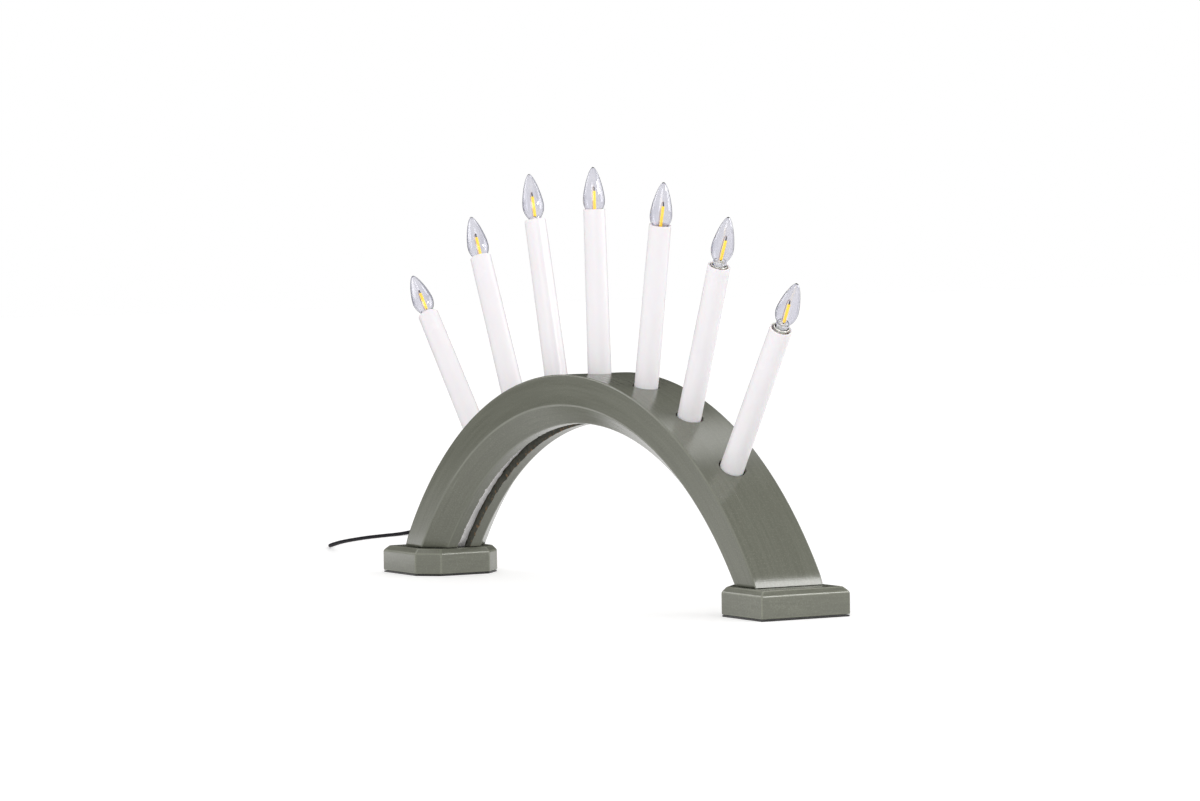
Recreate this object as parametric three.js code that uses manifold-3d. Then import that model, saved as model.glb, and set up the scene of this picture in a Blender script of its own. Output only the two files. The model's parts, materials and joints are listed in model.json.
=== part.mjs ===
// A seven-light candle arch for a table or a window sill: a painted wooden arch on two block feet, with
// seven white candle tubes that hold small screw-in filament bulbs, and a mains lead that leaves the outer
// side of the left leg. Millimetres, +Z up, the front towards -Y. The origin is on the table, midway
// between the feet.
import * as THREE from 'three';
import { mergeVertices } from 'three/addons/utils/BufferGeometryUtils.js';
import Module from 'manifold-3d';

// Clearances
const SEAT_GAP = 0.3; // between pieces that rest on or in each other
const CUT_MARGIN = 5; // how far a cutting body runs past the face it opens
const MERGE_DISTANCE = 1e-4; // corners closer than this are one

// Arch and feet
const OVERALL_WIDTH = 470; // from the outer end of one foot to the outer end of the other
const CROWN_HEIGHT = 135.8; // top of the arch above the table
const ARCH_THICKNESS = 30.7; // measured along a radius
const ARCH_DEPTH = 47.3; // front face to back face
const ARCH_CHAMFER = 11.6; // along both inner edges
const ARCH_STEPS = 44;
const FOOT_LENGTH = 57.1;
const FOOT_DEPTH = 60.9;
const FOOT_HEIGHT = 16.3;
const FOOT_OVERHANG = 17.2; // how far the foot reaches past the outer side of the leg
const FOOT_CORNER = 12.5; // clip on the two corners that face the middle
const FOOT_EDGE = 3.1; // chamfer round the top
const PAD_THICKNESS = 1;
const PAD_INSET = 0.4; // from the edge of the foot

// Foot screws
const SCREW_LENGTH = 34;
const SCREW_RADIUS = 2;
const SCREW_HEAD_RADIUS = 3.9;
const SCREW_POINT = 3;
const SCREW_SPACING = 26; // between the two screws of a foot

// Wiring groove in the inner face of the arch
const GROOVE_WIDTH = 9.2;
const GROOVE_DEPTH = 10.5;
const COVER_THICKNESS = 1.2;
const COVER_RECESS = 5.4; // cover strip below the inner face
const WIRE_RADIUS = 1.1;
const WIRE_BORE_RADIUS = 2.5; // from each candle socket down to the groove
const WIRE_BEND = 2; // where the wiring turns up into the groove, before its run
const WIRE_OVERRUN = 1; // degrees past the last candle
const WIRE_STEPS = 26;

// Candles
const CANDLE_STEP = 12.1; // degrees from one candle to the next
// The candles were fitted by hand. Each has its own shift along the arch, tilt to the right and lean to the
// front, in degrees, the rise of its tube, and the drop of its holder's rim below the rim of the tube.
const CANDLES = [
  { shift: -0.02, tilt: 0.04, lean: 2.67, rise: 3.5, drop: 0.4 },
  { shift: -0.26, tilt: 0.74, lean: 0.8, rise: 2.9, drop: 3.4 },
  { shift: 0, tilt: 0.25, lean: 1.19, rise: 2.7, drop: 1.8 },
  { shift: -0.14, tilt: 0.05, lean: 1.24, rise: 1.7, drop: 5.5 },
  { shift: 0.31, tilt: 0.27, lean: 1.05, rise: 0.8, drop: 5.2 },
  { shift: -0.05, tilt: 0.22, lean: 1.72, rise: 0, drop: -0.1 },
  { shift: 0.26, tilt: -0.83, lean: 1.33, rise: 2.9, drop: -1.1 },
];
const SOCKET_DEPTH = 18; // where the tube has no rise
const SOCKET_CLEARANCE = 0.5;
const TUBE_BASE_RADIUS = 7.35;
const TUBE_TOP_RADIUS = 6.7;
const TUBE_WALL = 1;
const TUBE_LENGTH = 99.9; // above the arch where it has no rise
const TUBE_LIP = 0.7; // rounding of the rim
const ROUND_SIDES = 16;
const SMALL_SIDES = 8; // of wires, filaments and other thin round pieces

// Screw holder and bulb, along the candle's axis
const HOLDER_WALL = 0.4;
const HOLDER_LENGTH = 14.5;
const HOLDER_FLOOR = 1;
const CAP_WALL = 0.4;
const CAP_RISE = 1.8; // rim of the bulb's cap above the rim of the holder
const CAP_CONE = 2.1;
const CAP_FLOOR = 0.8;
const CONTACT_RADIUS = 1.9;
const CONTACT_HEIGHT = 1.3;
const GLASS_NECK_LENGTH = 5;
const GLASS_HEIGHT = 28.3; // above the neck
const GLASS_BELLY_HEIGHT = 7.7; // widest place above the neck
const GLASS_BELLY_RADIUS = 6.75;
const GLASS_WALL = 0.7;
const GLASS_TIP_WALL = 2.1; // thicker where the tip is drawn off
const GLASS_LIFT = 3.1; // top of the neck above the rim of the holder
const GLASS_SIDES = 14;
const GLASS_DIVISIONS = 4; // of each curve of the outer side
const GLASS_INNER_DIVISIONS = 3;
// Handles of the two curves of the glass, as shares of the width and height that each curve spans
const GLASS_NECK_HANDLE = new THREE.Vector2(0.44, 0.2);
const GLASS_SHOULDER_HANDLE = 0.55;
const GLASS_CHEEK_HANDLE = 0.28;
const GLASS_TIP_HANDLE = new THREE.Vector2(0.44, 0.93);
const FILAMENT_RADIUS = 0.9;
const FILAMENT_LENGTH = 12.5;
const FILAMENT_LIFT = 2.2; // lower end above the top of the neck
const FILAMENT_OFFSET = 0.6; // beside the axis of the bulb
const STEM_RADIUS = 0.4;
const STEM_TIP = 2; // bare wire above the filament

// Lead
const CORD_RADIUS = 1.2;
const CORD_SIDES = 8;
const CORD_STEPS = 56;
const CORD_EXIT_HEIGHT = 26.3;
const RELIEF_RADIUS = 2.8;
const RELIEF_TIP_RADIUS = 1.7;
const RELIEF_LENGTH = 20; // outside the leg
const RELIEF_DEPTH = 12; // inside the leg
const RELIEF_SIDES = 12;
// The free stretch, from the tip of the strain relief to the coil
const CORD_POINTS = [
  [-232.6, 0, 26.3], [-238, 0, 26.2], [-245, 0.1, 25.3], [-257, 0.3, 23.3], [-275, 1, 21],
  [-290, 2, 19.5], [-305, 3.5, 18], [-320, 5.2, 16.5], [-335, 7.4, 14.9], [-350, 9.9, 13.2],
  [-365, 12.8, 11.5], [-380, 16, 9.7], [-395, 19.7, 7.8], [-410, 24, 5.8], [-425, 29, 3.9],
  [-440, 35, 2.3], [-455, 43, 1.4], [-470, 54.5, 1.2], [-484, 68, 1.2], [-497, 84, 1.2],
  [-507.5, 100, 1.2], [-515.5, 116, 1.2], [-521, 131, 1.3], [-523.7, 146, 1.8], [-524.7, 157, 2.1],
  [-524.7, 162.3, 2.1],
];
const COIL_CENTRE = new THREE.Vector2(-505.1, 165);
const COIL_OUTER_RADIUS = 19.6; // at the middle of the cord
const COIL_LAYERS = 4;
const COIL_TURNS = 15.4; // in all
const COIL_PITCH = 2.9; // between neighbouring turns and between layers
const COIL_LIFT = 2.1; // middle of the lowest turn above the table
const COIL_START = Math.PI; // the angle at which the lead comes in
const COIL_CLIMB = 0.5; // the part of a turn in which the cord climbs a layer
const COIL_LOOP_STEPS = 20;
const COIL_SIDES = 6;
const TAIL_HANDLE = 24; // how straight the cord leaves the coil and meets the plug
const TAIL_STEPS = 14;
const TIE_WIDTH = 5;
const TIE_THICKNESS = 0.6;
const TIE_CLEARANCE = 0.5;
const TIE_CORNER_STEPS = 3;
const TIE_ANGLE = THREE.MathUtils.degToRad(-30);

// Two-pin plug at the end of the lead
const PLUG_POSITION = new THREE.Vector2(-454.4, 136.6); // where the lead goes in
const PLUG_HEADING = THREE.MathUtils.degToRad(-29.3);
const PLUG_SLEEVE_LENGTH = 16;
const PLUG_SLEEVE_WIDTH = 4.8; // where the lead goes in
const PLUG_SLEEVE_ROOT = 7.2; // where the sleeve meets the grip
const PLUG_CORNER = 0.29; // clip of the corners, as a share of the height
const PLUG_GRIP_WIDTH = 15;
const PLUG_GRIP_HEIGHT = 9;
const PLUG_WIDTH = 35.3;
const PLUG_HEIGHT = 13.7;
const PLUG_LENGTH = 36;
const PLUG_FACE_LENGTH = 9; // straight stretch behind the pins
const PIN_RADIUS = 2;
const PIN_NOSE = 1; // rounding of the tip
const PIN_LENGTH = 19;
const PIN_SPACING = 18.6;
const PIN_SIDES = 12;

// Sizes that follow
const FOOT_BOTTOM = PAD_THICKNESS + SEAT_GAP;
const FOOT_TOP = FOOT_BOTTOM + FOOT_HEIGHT;
const LEG_BOTTOM = FOOT_TOP + SEAT_GAP;
const LEG_OUTER = OVERALL_WIDTH / 2 - FOOT_OVERHANG;
const ARCH_RISE = CROWN_HEIGHT - LEG_BOTTOM;
const OUTER_RADIUS = (LEG_OUTER ** 2 + ARCH_RISE ** 2) / (2 * ARCH_RISE);
const INNER_RADIUS = OUTER_RADIUS - ARCH_THICKNESS;
const ARCH_CENTRE = CROWN_HEIGHT - OUTER_RADIUS;
const FOOT_CENTRE = OVERALL_WIDTH / 2 - FOOT_LENGTH / 2;
const TUBE_FOOT = SEAT_GAP - SOCKET_DEPTH;
const TUBE_BORE = TUBE_TOP_RADIUS - TUBE_WALL;
const HOLDER_RADIUS = TUBE_BORE - SEAT_GAP;
const CAP_RADIUS = HOLDER_RADIUS - HOLDER_WALL - SEAT_GAP;
const GLASS_NECK_RADIUS = CAP_RADIUS - CAP_WALL - SEAT_GAP;
const PLUG_AXIS_HEIGHT = PLUG_HEIGHT / 2;

// Finishes
const paint = new THREE.MeshStandardMaterial({ color: 0x7b7d72, roughness: 0.45, metalness: 0 });
const felt = new THREE.MeshStandardMaterial({ color: 0x1c1b1a, roughness: 0.95, metalness: 0 });
const steel = new THREE.MeshStandardMaterial({ color: 0xb9bbbc, roughness: 0.35, metalness: 1 });
const nickel = new THREE.MeshStandardMaterial({ color: 0xc9c6bd, roughness: 0.25, metalness: 1 });
const solder = new THREE.MeshStandardMaterial({ color: 0x9b9c9e, roughness: 0.5, metalness: 1 });
const candleWhite = new THREE.MeshStandardMaterial({ color: 0xf0ecee, roughness: 0.5, metalness: 0 });
const coverWhite = new THREE.MeshStandardMaterial({ color: 0xe9e7e2, roughness: 0.6, metalness: 0 });
const glass = new THREE.MeshStandardMaterial({ color: 0xffffff, roughness: 0.02, metalness: 0 });
glass.transparent = true;
glass.opacity = 0.3;
const phosphor = new THREE.MeshStandardMaterial({ color: 0xe0a63a, roughness: 0.6, metalness: 0 });
const blackPlastic = new THREE.MeshStandardMaterial({ color: 0x2b2930, roughness: 0.5, metalness: 0 });

const wasm = await Module();
wasm.setup();

// Solids and cuts

function signedVolume(positions, index) {
  const [a, b, c] = [new THREE.Vector3(), new THREE.Vector3(), new THREE.Vector3()];
  let sum = 0;
  for (let i = 0; i < index.length; i += 3) {
    a.fromBufferAttribute(positions, index[i]);
    b.fromBufferAttribute(positions, index[i + 1]);
    c.fromBufferAttribute(positions, index[i + 2]);
    sum += a.dot(b.cross(c)) / 6;
  }
  return sum;
}

// Merges shared corners, drops triangles that have closed to a line and turns the faces outwards.
function closed(geometry) {
  const bare = geometry.clone();
  bare.deleteAttribute('normal');
  bare.deleteAttribute('uv');
  const merged = mergeVertices(bare, MERGE_DISTANCE);
  const kept = [];
  for (let i = 0; i < merged.index.count; i += 3) {
    const corners = [0, 1, 2].map((k) => merged.index.getX(i + k));
    if (new Set(corners).size === 3) kept.push(...corners);
  }
  const outward = signedVolume(merged.getAttribute('position'), kept) > 0;
  merged.setIndex(outward ? kept : kept.reverse());
  merged.computeVertexNormals();
  return merged;
}

function toSolid(geometry) {
  const shell = closed(geometry);
  return new wasm.Manifold(new wasm.Mesh({
    numProp: 3,
    vertProperties: new Float32Array(shell.getAttribute('position').array),
    triVerts: new Uint32Array(shell.index.array),
  }));
}

function toGeometry(solid) {
  const mesh = solid.getMesh();
  const geometry = new THREE.BufferGeometry();
  geometry.setAttribute('position', new THREE.BufferAttribute(mesh.vertProperties, 3));
  geometry.setIndex(new THREE.BufferAttribute(mesh.triVerts, 1));
  geometry.computeVertexNormals();
  return geometry;
}

function cut(geometry, tools) {
  return toGeometry(tools.reduce((solid, tool) => solid.subtract(toSolid(tool)), toSolid(geometry)));
}

function join(geometries) {
  return toGeometry(geometries.map(toSolid).reduce((whole, solid) => whole.add(solid)));
}

// Turns a profile of [radius, height] pairs round the Z axis.
function turned(profile, sides = ROUND_SIDES) {
  const points = profile.map(([radius, height]) => new THREE.Vector2(radius, height));
  return closed(new THREE.LatheGeometry(points, sides).rotateX(Math.PI / 2));
}

// A closed skin over rings of points, with flat ends.
function loft(rings, endFaces) {
  const count = rings[0].length;
  const last = (rings.length - 1) * count;
  const index = [];
  for (let ring = 0; ring < rings.length - 1; ring += 1) {
    for (let k = 0; k < count; k += 1) {
      const a = ring * count + k;
      const b = ring * count + ((k + 1) % count);
      index.push(a, b, a + count, b, b + count, a + count);
    }
  }
  endFaces.forEach(([a, b, c]) => index.push(c, b, a, last + a, last + b, last + c));
  const geometry = new THREE.BufferGeometry();
  geometry.setFromPoints(rings.flat());
  geometry.setIndex(index);
  return closed(geometry);
}

function fan(count) {
  return Array.from({ length: count - 2 }, (_, k) => [0, k + 1, k + 2]);
}

function polygon(radius, sides) {
  return Array.from({ length: sides }, (_, k) => {
    const angle = ((k + 0.5) / sides) * 2 * Math.PI;
    return new THREE.Vector2(radius * Math.cos(angle), radius * Math.sin(angle));
  });
}

function tube(curve, radius, sides, steps) {
  const section = new THREE.Shape(polygon(radius, sides));
  return closed(new THREE.ExtrudeGeometry(section, { steps, extrudePath: curve }));
}

function rod(radius, bottom, top, sides = ROUND_SIDES) {
  return turned([[0, bottom], [radius, bottom], [radius, top], [0, top]], sides);
}

const lamp = new THREE.Group();

function add(name, geometry, material, parent = lamp) {
  const mesh = new THREE.Mesh(geometry, material);
  mesh.name = name;
  parent.add(mesh);
  return mesh;
}

// The arch

// A point at a radius from the arch's centre, at an angle from the crown and a place across the depth.
function archPoint(radius, angle, across = 0) {
  return new THREE.Vector3(radius * Math.sin(angle), across, ARCH_CENTRE + radius * Math.cos(angle));
}

// Half the width of the arch at a height, on the circle of the given radius.
function reach(radius, height) {
  return Math.sqrt(radius ** 2 - (height - ARCH_CENTRE) ** 2);
}

// Sweeps a section of (across, radius) points round the arch and cuts it level at the legs.
function sweptRoundArch(section) {
  const span = Math.acos((FOOT_BOTTOM - ARCH_CENTRE) / OUTER_RADIUS);
  const rings = Array.from({ length: ARCH_STEPS + 1 }, (_, k) => {
    const angle = span * ((2 * k) / ARCH_STEPS - 1);
    return section.map((p) => archPoint(p.y, angle, p.x));
  });
  const ends = THREE.ShapeUtils.triangulateShape(section, []);
  const below = new THREE.BoxGeometry(2 * OVERALL_WIDTH, 2 * ARCH_DEPTH, OVERALL_WIDTH);
  return cut(loft(rings, ends), [below.translate(0, 0, LEG_BOTTOM - OVERALL_WIDTH / 2)]);
}

function archSection() {
  const half = ARCH_DEPTH / 2;
  const flat = half - ARCH_CHAMFER;
  const groove = GROOVE_WIDTH / 2;
  const right = [
    [groove, INNER_RADIUS + GROOVE_DEPTH], [groove, INNER_RADIUS], [flat, INNER_RADIUS],
    [half, INNER_RADIUS + ARCH_CHAMFER], [half, OUTER_RADIUS],
  ];
  const left = right.map(([across, radius]) => [-across, radius]).reverse();
  return [...right, ...left].map(([across, radius]) => new THREE.Vector2(across, radius));
}

function coverSection() {
  const half = GROOVE_WIDTH / 2 - SEAT_GAP;
  const low = INNER_RADIUS + COVER_RECESS;
  const high = low + COVER_THICKNESS;
  const corners = [[-half, low], [half, low], [half, high], [-half, high]];
  return corners.map(([across, radius]) => new THREE.Vector2(across, radius));
}

// The candles' frames stand on the outer face of the arch, with +Z along the candle.
function candleFrame({ shift, tilt, lean }, k) {
  const angle = (k - (CANDLES.length - 1) / 2) * CANDLE_STEP + shift;
  const frame = new THREE.Group();
  frame.position.copy(archPoint(OUTER_RADIUS, THREE.MathUtils.degToRad(angle)));
  frame.rotation.set(...[lean, angle + tilt, 0].map(THREE.MathUtils.degToRad), 'YXZ');
  frame.updateMatrix();
  return frame;
}

const candleFrames = CANDLES.map(candleFrame);

function candleSocket({ rise }, k) {
  const hole = rod(TUBE_BASE_RADIUS + SOCKET_CLEARANCE, rise - SOCKET_DEPTH, CUT_MARGIN);
  return hole.applyMatrix4(candleFrames[k].matrix);
}

function wireBore({ rise }, k) {
  const low = GROOVE_DEPTH - ARCH_THICKNESS - SEAT_GAP;
  const high = SEAT_GAP + rise - SOCKET_DEPTH;
  return rod(WIRE_BORE_RADIUS, low, high, SMALL_SIDES).applyMatrix4(candleFrames[k].matrix);
}

// Foot screws, head down

function screwProfile(extra) {
  const head = SCREW_HEAD_RADIUS + extra;
  const shank = SCREW_RADIUS + extra;
  return [
    [0, -extra], [head, -extra], [head, extra], [shank, extra + head - shank],
    [shank, SCREW_LENGTH - SCREW_POINT + extra], [0, SCREW_LENGTH + extra],
  ];
}

const screwBottom = FOOT_BOTTOM + SEAT_GAP;
const screwX = (reach(OUTER_RADIUS, screwBottom + SCREW_LENGTH) + reach(INNER_RADIUS, LEG_BOTTOM)) / 2;
const screws = ['left', 'right'].flatMap((side) => ['front', 'back'].map((end) => ({
  name: `foot_screw_${side}_${end}`,
  side,
  x: side === 'left' ? -screwX : screwX,
  y: end === 'front' ? -SCREW_SPACING / 2 : SCREW_SPACING / 2,
})));

function screwHole({ x, y }) {
  const [, ...side] = screwProfile(SEAT_GAP);
  const mouth = [[0, -CUT_MARGIN], [SCREW_HEAD_RADIUS + SEAT_GAP, -CUT_MARGIN]];
  return turned([...mouth, ...side]).translate(x, y, screwBottom);
}

// The hole for the lead runs level through the left leg, from the groove to the outer face.
const cordExit = -reach(OUTER_RADIUS, CORD_EXIT_HEIGHT);
const reliefInner = cordExit + RELIEF_DEPTH;

function alongX(geometry, x) {
  return geometry.rotateY(-Math.PI / 2).translate(x, 0, CORD_EXIT_HEIGHT);
}

function cordHole() {
  const length = -reach(INNER_RADIUS + GROOVE_DEPTH / 2, CORD_EXIT_HEIGHT) - cordExit;
  return alongX(rod(RELIEF_RADIUS + SEAT_GAP, -length, RELIEF_DEPTH), cordExit);
}

add('arch', cut(sweptRoundArch(archSection()), [
  ...CANDLES.map(candleSocket), ...CANDLES.map(wireBore), ...screws.map(screwHole), cordHole(),
]), paint);
add('wiring_cover', sweptRoundArch(coverSection()), coverWhite);

// Feet, pads and screws

// The foot seen from above, drawn in by an inset. The clipped corners face the middle of the arch.
function footOutline(inset) {
  const half = FOOT_LENGTH / 2 - inset;
  const deep = FOOT_DEPTH / 2 - inset;
  const clip = FOOT_CORNER - inset * (2 - Math.SQRT2);
  return [
    [half, -deep], [half, deep], [clip - half, deep],
    [-half, deep - clip], [-half, clip - deep], [clip - half, -deep],
  ];
}

function footLayers(side, layers) {
  const turn = side === 'left' ? -1 : 1;
  const rings = layers.map(([inset, height]) => footOutline(inset).map(
    ([x, y]) => new THREE.Vector3(turn * (FOOT_CENTRE + x), y, height),
  ));
  return loft(rings, fan(rings[0].length));
}

for (const side of ['left', 'right']) {
  const block = footLayers(side, [[0, FOOT_BOTTOM], [0, FOOT_TOP - FOOT_EDGE], [FOOT_EDGE, FOOT_TOP]]);
  const holes = screws.filter((screw) => screw.side === side).map(screwHole);
  add(`foot_${side}`, cut(block, holes), paint);
  add(`foot_pad_${side}`, footLayers(side, [[PAD_INSET, 0], [PAD_INSET, PAD_THICKNESS]]), felt);
}
screws.forEach(({ name, x, y }) => {
  add(name, turned(screwProfile(0)), steel).position.set(x, y, screwBottom);
});

// Candles, with their holders and bulbs

function tubeProfile() {
  const top = TUBE_LENGTH;
  const boreAtFoot = TUBE_BASE_RADIUS - TUBE_WALL;
  return [
    [boreAtFoot, TUBE_FOOT], [TUBE_BASE_RADIUS, TUBE_FOOT], [TUBE_BASE_RADIUS, 0],
    [TUBE_TOP_RADIUS, top - TUBE_LIP], [TUBE_TOP_RADIUS - TUBE_LIP / 2, top], [TUBE_BORE, top],
    [TUBE_BORE, top - HOLDER_LENGTH], [boreAtFoot, 0], [boreAtFoot, TUBE_FOOT],
  ];
}

// Heights in these profiles are above the rim of the holder.
const holderFloor = HOLDER_FLOOR - HOLDER_LENGTH;
const contactBottom = holderFloor + SEAT_GAP;
const capBottom = contactBottom + CONTACT_HEIGHT + SEAT_GAP;

function holderProfile() {
  const bore = HOLDER_RADIUS - HOLDER_WALL;
  return [
    [0, -HOLDER_LENGTH], [HOLDER_RADIUS, -HOLDER_LENGTH], [HOLDER_RADIUS, 0],
    [bore, 0], [bore, holderFloor], [0, holderFloor],
  ];
}

function contactProfile() {
  const top = contactBottom + CONTACT_HEIGHT;
  return [[0, contactBottom], [CONTACT_RADIUS / 2, contactBottom], [CONTACT_RADIUS, top], [0, top]];
}

function capProfile() {
  const bore = CAP_RADIUS - CAP_WALL;
  const cone = capBottom + CAP_CONE;
  const floor = capBottom + CAP_FLOOR;
  return [
    [0, capBottom], [CAP_RADIUS - CAP_CONE, capBottom], [CAP_RADIUS, cone], [CAP_RADIUS, CAP_RISE],
    [bore, CAP_RISE], [bore, cone + CAP_FLOOR - CAP_WALL], [bore - CAP_CONE, floor], [0, floor],
  ];
}

// The flame-shaped side of the bulb, from the foot of its neck to its tip, drawn in by a wall.
function flameSide(wall, tipWall, divisions) {
  const neck = GLASS_NECK_RADIUS - wall;
  const belly = GLASS_BELLY_RADIUS - wall;
  const middle = GLASS_BELLY_HEIGHT;
  const tip = GLASS_HEIGHT - tipWall;
  const swell = belly - neck;
  const upper = tip - middle;
  const side = new THREE.Path();
  side.moveTo(neck, -GLASS_NECK_LENGTH);
  side.lineTo(neck, 0);
  side.bezierCurveTo(
    neck + GLASS_NECK_HANDLE.x * swell, GLASS_NECK_HANDLE.y * middle,
    belly, GLASS_SHOULDER_HANDLE * middle,
    belly, middle,
  );
  side.bezierCurveTo(
    belly, middle + GLASS_CHEEK_HANDLE * upper,
    GLASS_TIP_HANDLE.x * belly, middle + GLASS_TIP_HANDLE.y * upper,
    0, tip,
  );
  return side.getPoints(divisions).map((p) => [p.x, p.y + GLASS_LIFT]);
}

function glassProfile() {
  const inner = flameSide(GLASS_WALL, GLASS_TIP_WALL, GLASS_INNER_DIVISIONS);
  const outer = flameSide(0, 0, GLASS_DIVISIONS);
  return [...inner.reverse(), ...outer];
}

function filamentProfile() {
  const foot = capBottom + CAP_FLOOR + SEAT_GAP;
  const low = GLASS_LIFT + FILAMENT_LIFT;
  const high = low + FILAMENT_LENGTH;
  return [
    [0, foot], [STEM_RADIUS, foot], [STEM_RADIUS, low], [FILAMENT_RADIUS, low], [FILAMENT_RADIUS, high],
    [STEM_RADIUS, high], [STEM_RADIUS, high + STEM_TIP], [0, high + STEM_TIP],
  ];
}

const candleTube = turned(tubeProfile());
const lampHolder = turned(holderProfile());
const bulbContact = turned(contactProfile(), SMALL_SIDES);
const bulbCap = turned(capProfile());
const bulbGlass = turned(glassProfile(), GLASS_SIDES);
const filament = turned(filamentProfile(), SMALL_SIDES);

CANDLES.forEach(({ rise, drop }, k) => {
  const number = k + 1;
  const frame = candleFrames[k];
  lamp.add(frame);
  add(`candle_tube_${number}`, candleTube, candleWhite, frame).position.z = rise;
  const head = new THREE.Group();
  head.position.z = TUBE_LENGTH + rise - drop;
  frame.add(head);
  add(`lamp_holder_${number}`, lampHolder, nickel, head);
  add(`bulb_contact_${number}`, bulbContact, solder, head);
  add(`bulb_cap_${number}`, bulbCap, nickel, head);
  add(`bulb_glass_${number}`, bulbGlass, glass, head);
  add(`filament_${number}`, filament, phosphor, head).position.x = FILAMENT_OFFSET;
});

// Wiring inside the arch: one run in the groove, with a riser up each candle

function wiringHarness() {
  const runRadius = INNER_RADIUS + COVER_RECESS + COVER_THICKNESS + SEAT_GAP + WIRE_RADIUS;
  const start = -Math.acos((CORD_EXIT_HEIGHT - ARCH_CENTRE) / runRadius);
  const end = THREE.MathUtils.degToRad(((CANDLES.length - 1) / 2) * CANDLE_STEP + WIRE_OVERRUN);
  const run = Array.from({ length: WIRE_STEPS }, (_, k) => {
    const share = (k + 1) / WIRE_STEPS;
    return archPoint(runRadius, start + (end - start) * share);
  });
  const inlet = [reliefInner + SEAT_GAP, -reach(runRadius, CORD_EXIT_HEIGHT) - WIRE_BEND].map(
    (x) => new THREE.Vector3(x, 0, CORD_EXIT_HEIGHT),
  );
  const path = new THREE.CatmullRomCurve3([...inlet, ...run]);
  const risers = CANDLES.map(({ rise, drop }, k) => {
    const top = TUBE_LENGTH + rise - drop - HOLDER_LENGTH - SEAT_GAP;
    const riser = rod(WIRE_RADIUS, runRadius - OUTER_RADIUS, top, SMALL_SIDES);
    return riser.applyMatrix4(candleFrames[k].matrix);
  });
  return join([tube(path, WIRE_RADIUS, SMALL_SIDES, WIRE_STEPS), ...risers]);
}

add('wiring_harness', wiringHarness(), blackPlastic);

// Lead: strain relief, free stretch, coil with its tie, and plug

add('strain_relief', alongX(turned([
  [0, -RELIEF_DEPTH], [RELIEF_RADIUS, -RELIEF_DEPTH], [RELIEF_RADIUS, RELIEF_RADIUS],
  [RELIEF_TIP_RADIUS, RELIEF_LENGTH], [0, RELIEF_LENGTH],
], RELIEF_SIDES), cordExit), blackPlastic);

const cordRoute = new THREE.CatmullRomCurve3(CORD_POINTS.map((p) => new THREE.Vector3(...p)));
add('cord_lead', tube(cordRoute, CORD_RADIUS, CORD_SIDES, CORD_STEPS), blackPlastic);

// The coil winds clockwise seen from above: in along the table, out again a layer higher, and so on. It
// climbs a layer where the spiral reverses.
const turnsPerLayer = COIL_TURNS / COIL_LAYERS;

function coilPoint(turns) {
  const layer = Math.min(Math.floor(turns / turnsPerLayer), COIL_LAYERS - 1);
  const within = turns - layer * turnsPerLayer;
  const wound = layer % 2 === 0 ? within : turnsPerLayer - within;
  const radius = COIL_OUTER_RADIUS - COIL_PITCH * wound;
  const nearest = Math.round(turns / turnsPerLayer);
  const climbs = nearest > 0 && nearest < COIL_LAYERS;
  const past = THREE.MathUtils.clamp((turns - nearest * turnsPerLayer) / COIL_CLIMB, -0.5, 0.5);
  const level = climbs ? nearest - 0.5 + past : layer;
  const angle = COIL_START - 2 * Math.PI * turns;
  return new THREE.Vector3(
    COIL_CENTRE.x + radius * Math.cos(angle),
    COIL_CENTRE.y + radius * Math.sin(angle),
    COIL_LIFT + COIL_PITCH * level,
  );
}

// A tube through given points, with its rings square to the path.
function tubeThrough(points, radius, sides) {
  const up = new THREE.Vector3(0, 0, 1);
  const section = polygon(radius, sides);
  const rings = points.map((p, k) => {
    const before = points[Math.max(k - 1, 0)];
    const after = points[Math.min(k + 1, points.length - 1)];
    const along = after.clone().sub(before).normalize();
    const side = along.clone().cross(up).normalize();
    const above = side.clone().cross(along);
    return section.map((q) => p.clone().addScaledVector(side, q.x).addScaledVector(above, q.y));
  });
  return loft(rings, fan(sides));
}

function leastGap(points, apart) {
  let least = Infinity;
  for (let i = 0; i < points.length; i += 1) {
    for (let j = i + apart; j < points.length; j += 1) {
      least = Math.min(least, points[i].distanceTo(points[j]));
    }
  }
  return least - 2 * CORD_RADIUS;
}

const plugForward = new THREE.Vector3(Math.cos(PLUG_HEADING), Math.sin(PLUG_HEADING), 0);
const plugEntry = new THREE.Vector3(PLUG_POSITION.x, PLUG_POSITION.y, PLUG_AXIS_HEIGHT);
const coilSteps = Math.round(COIL_TURNS * COIL_LOOP_STEPS);
const coilTurns = Array.from({ length: coilSteps + 1 }, (_, k) => coilPoint((k / coilSteps) * COIL_TURNS));
const coilOutlet = coilTurns[coilSteps];
const leaving = coilOutlet.clone().sub(coilTurns[coilSteps - 1]).setZ(0).normalize();
const entering = new THREE.Vector3(Math.sin(COIL_START), -Math.cos(COIL_START), 0);
const coilInlet = coilTurns[0].clone().addScaledVector(entering, -2 * CORD_RADIUS);
const cordEnd = plugEntry.clone().addScaledVector(plugForward, -SEAT_GAP);
const tail = new THREE.CubicBezierCurve3(
  coilOutlet,
  coilOutlet.clone().addScaledVector(leaving, TAIL_HANDLE),
  cordEnd.clone().addScaledVector(plugForward, -TAIL_HANDLE),
  cordEnd.clone().addScaledVector(plugForward, -2 * CORD_RADIUS),
);
const coilPath = [coilInlet, ...coilTurns, ...tail.getSpacedPoints(TAIL_STEPS).slice(1), cordEnd];
const coilGap = leastGap(coilPath, COIL_LOOP_STEPS / 2);
console.log(`cord_coil least gap between turns ${coilGap.toFixed(2)} mm`);
add('cord_coil', tubeThrough(coilPath, CORD_RADIUS, COIL_SIDES), blackPlastic);
const cordLength = cordRoute.getLength() + new THREE.CatmullRomCurve3(coilPath).getLength();
console.log(`lead length ${(cordLength / 1000).toFixed(3)} m`);

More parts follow.
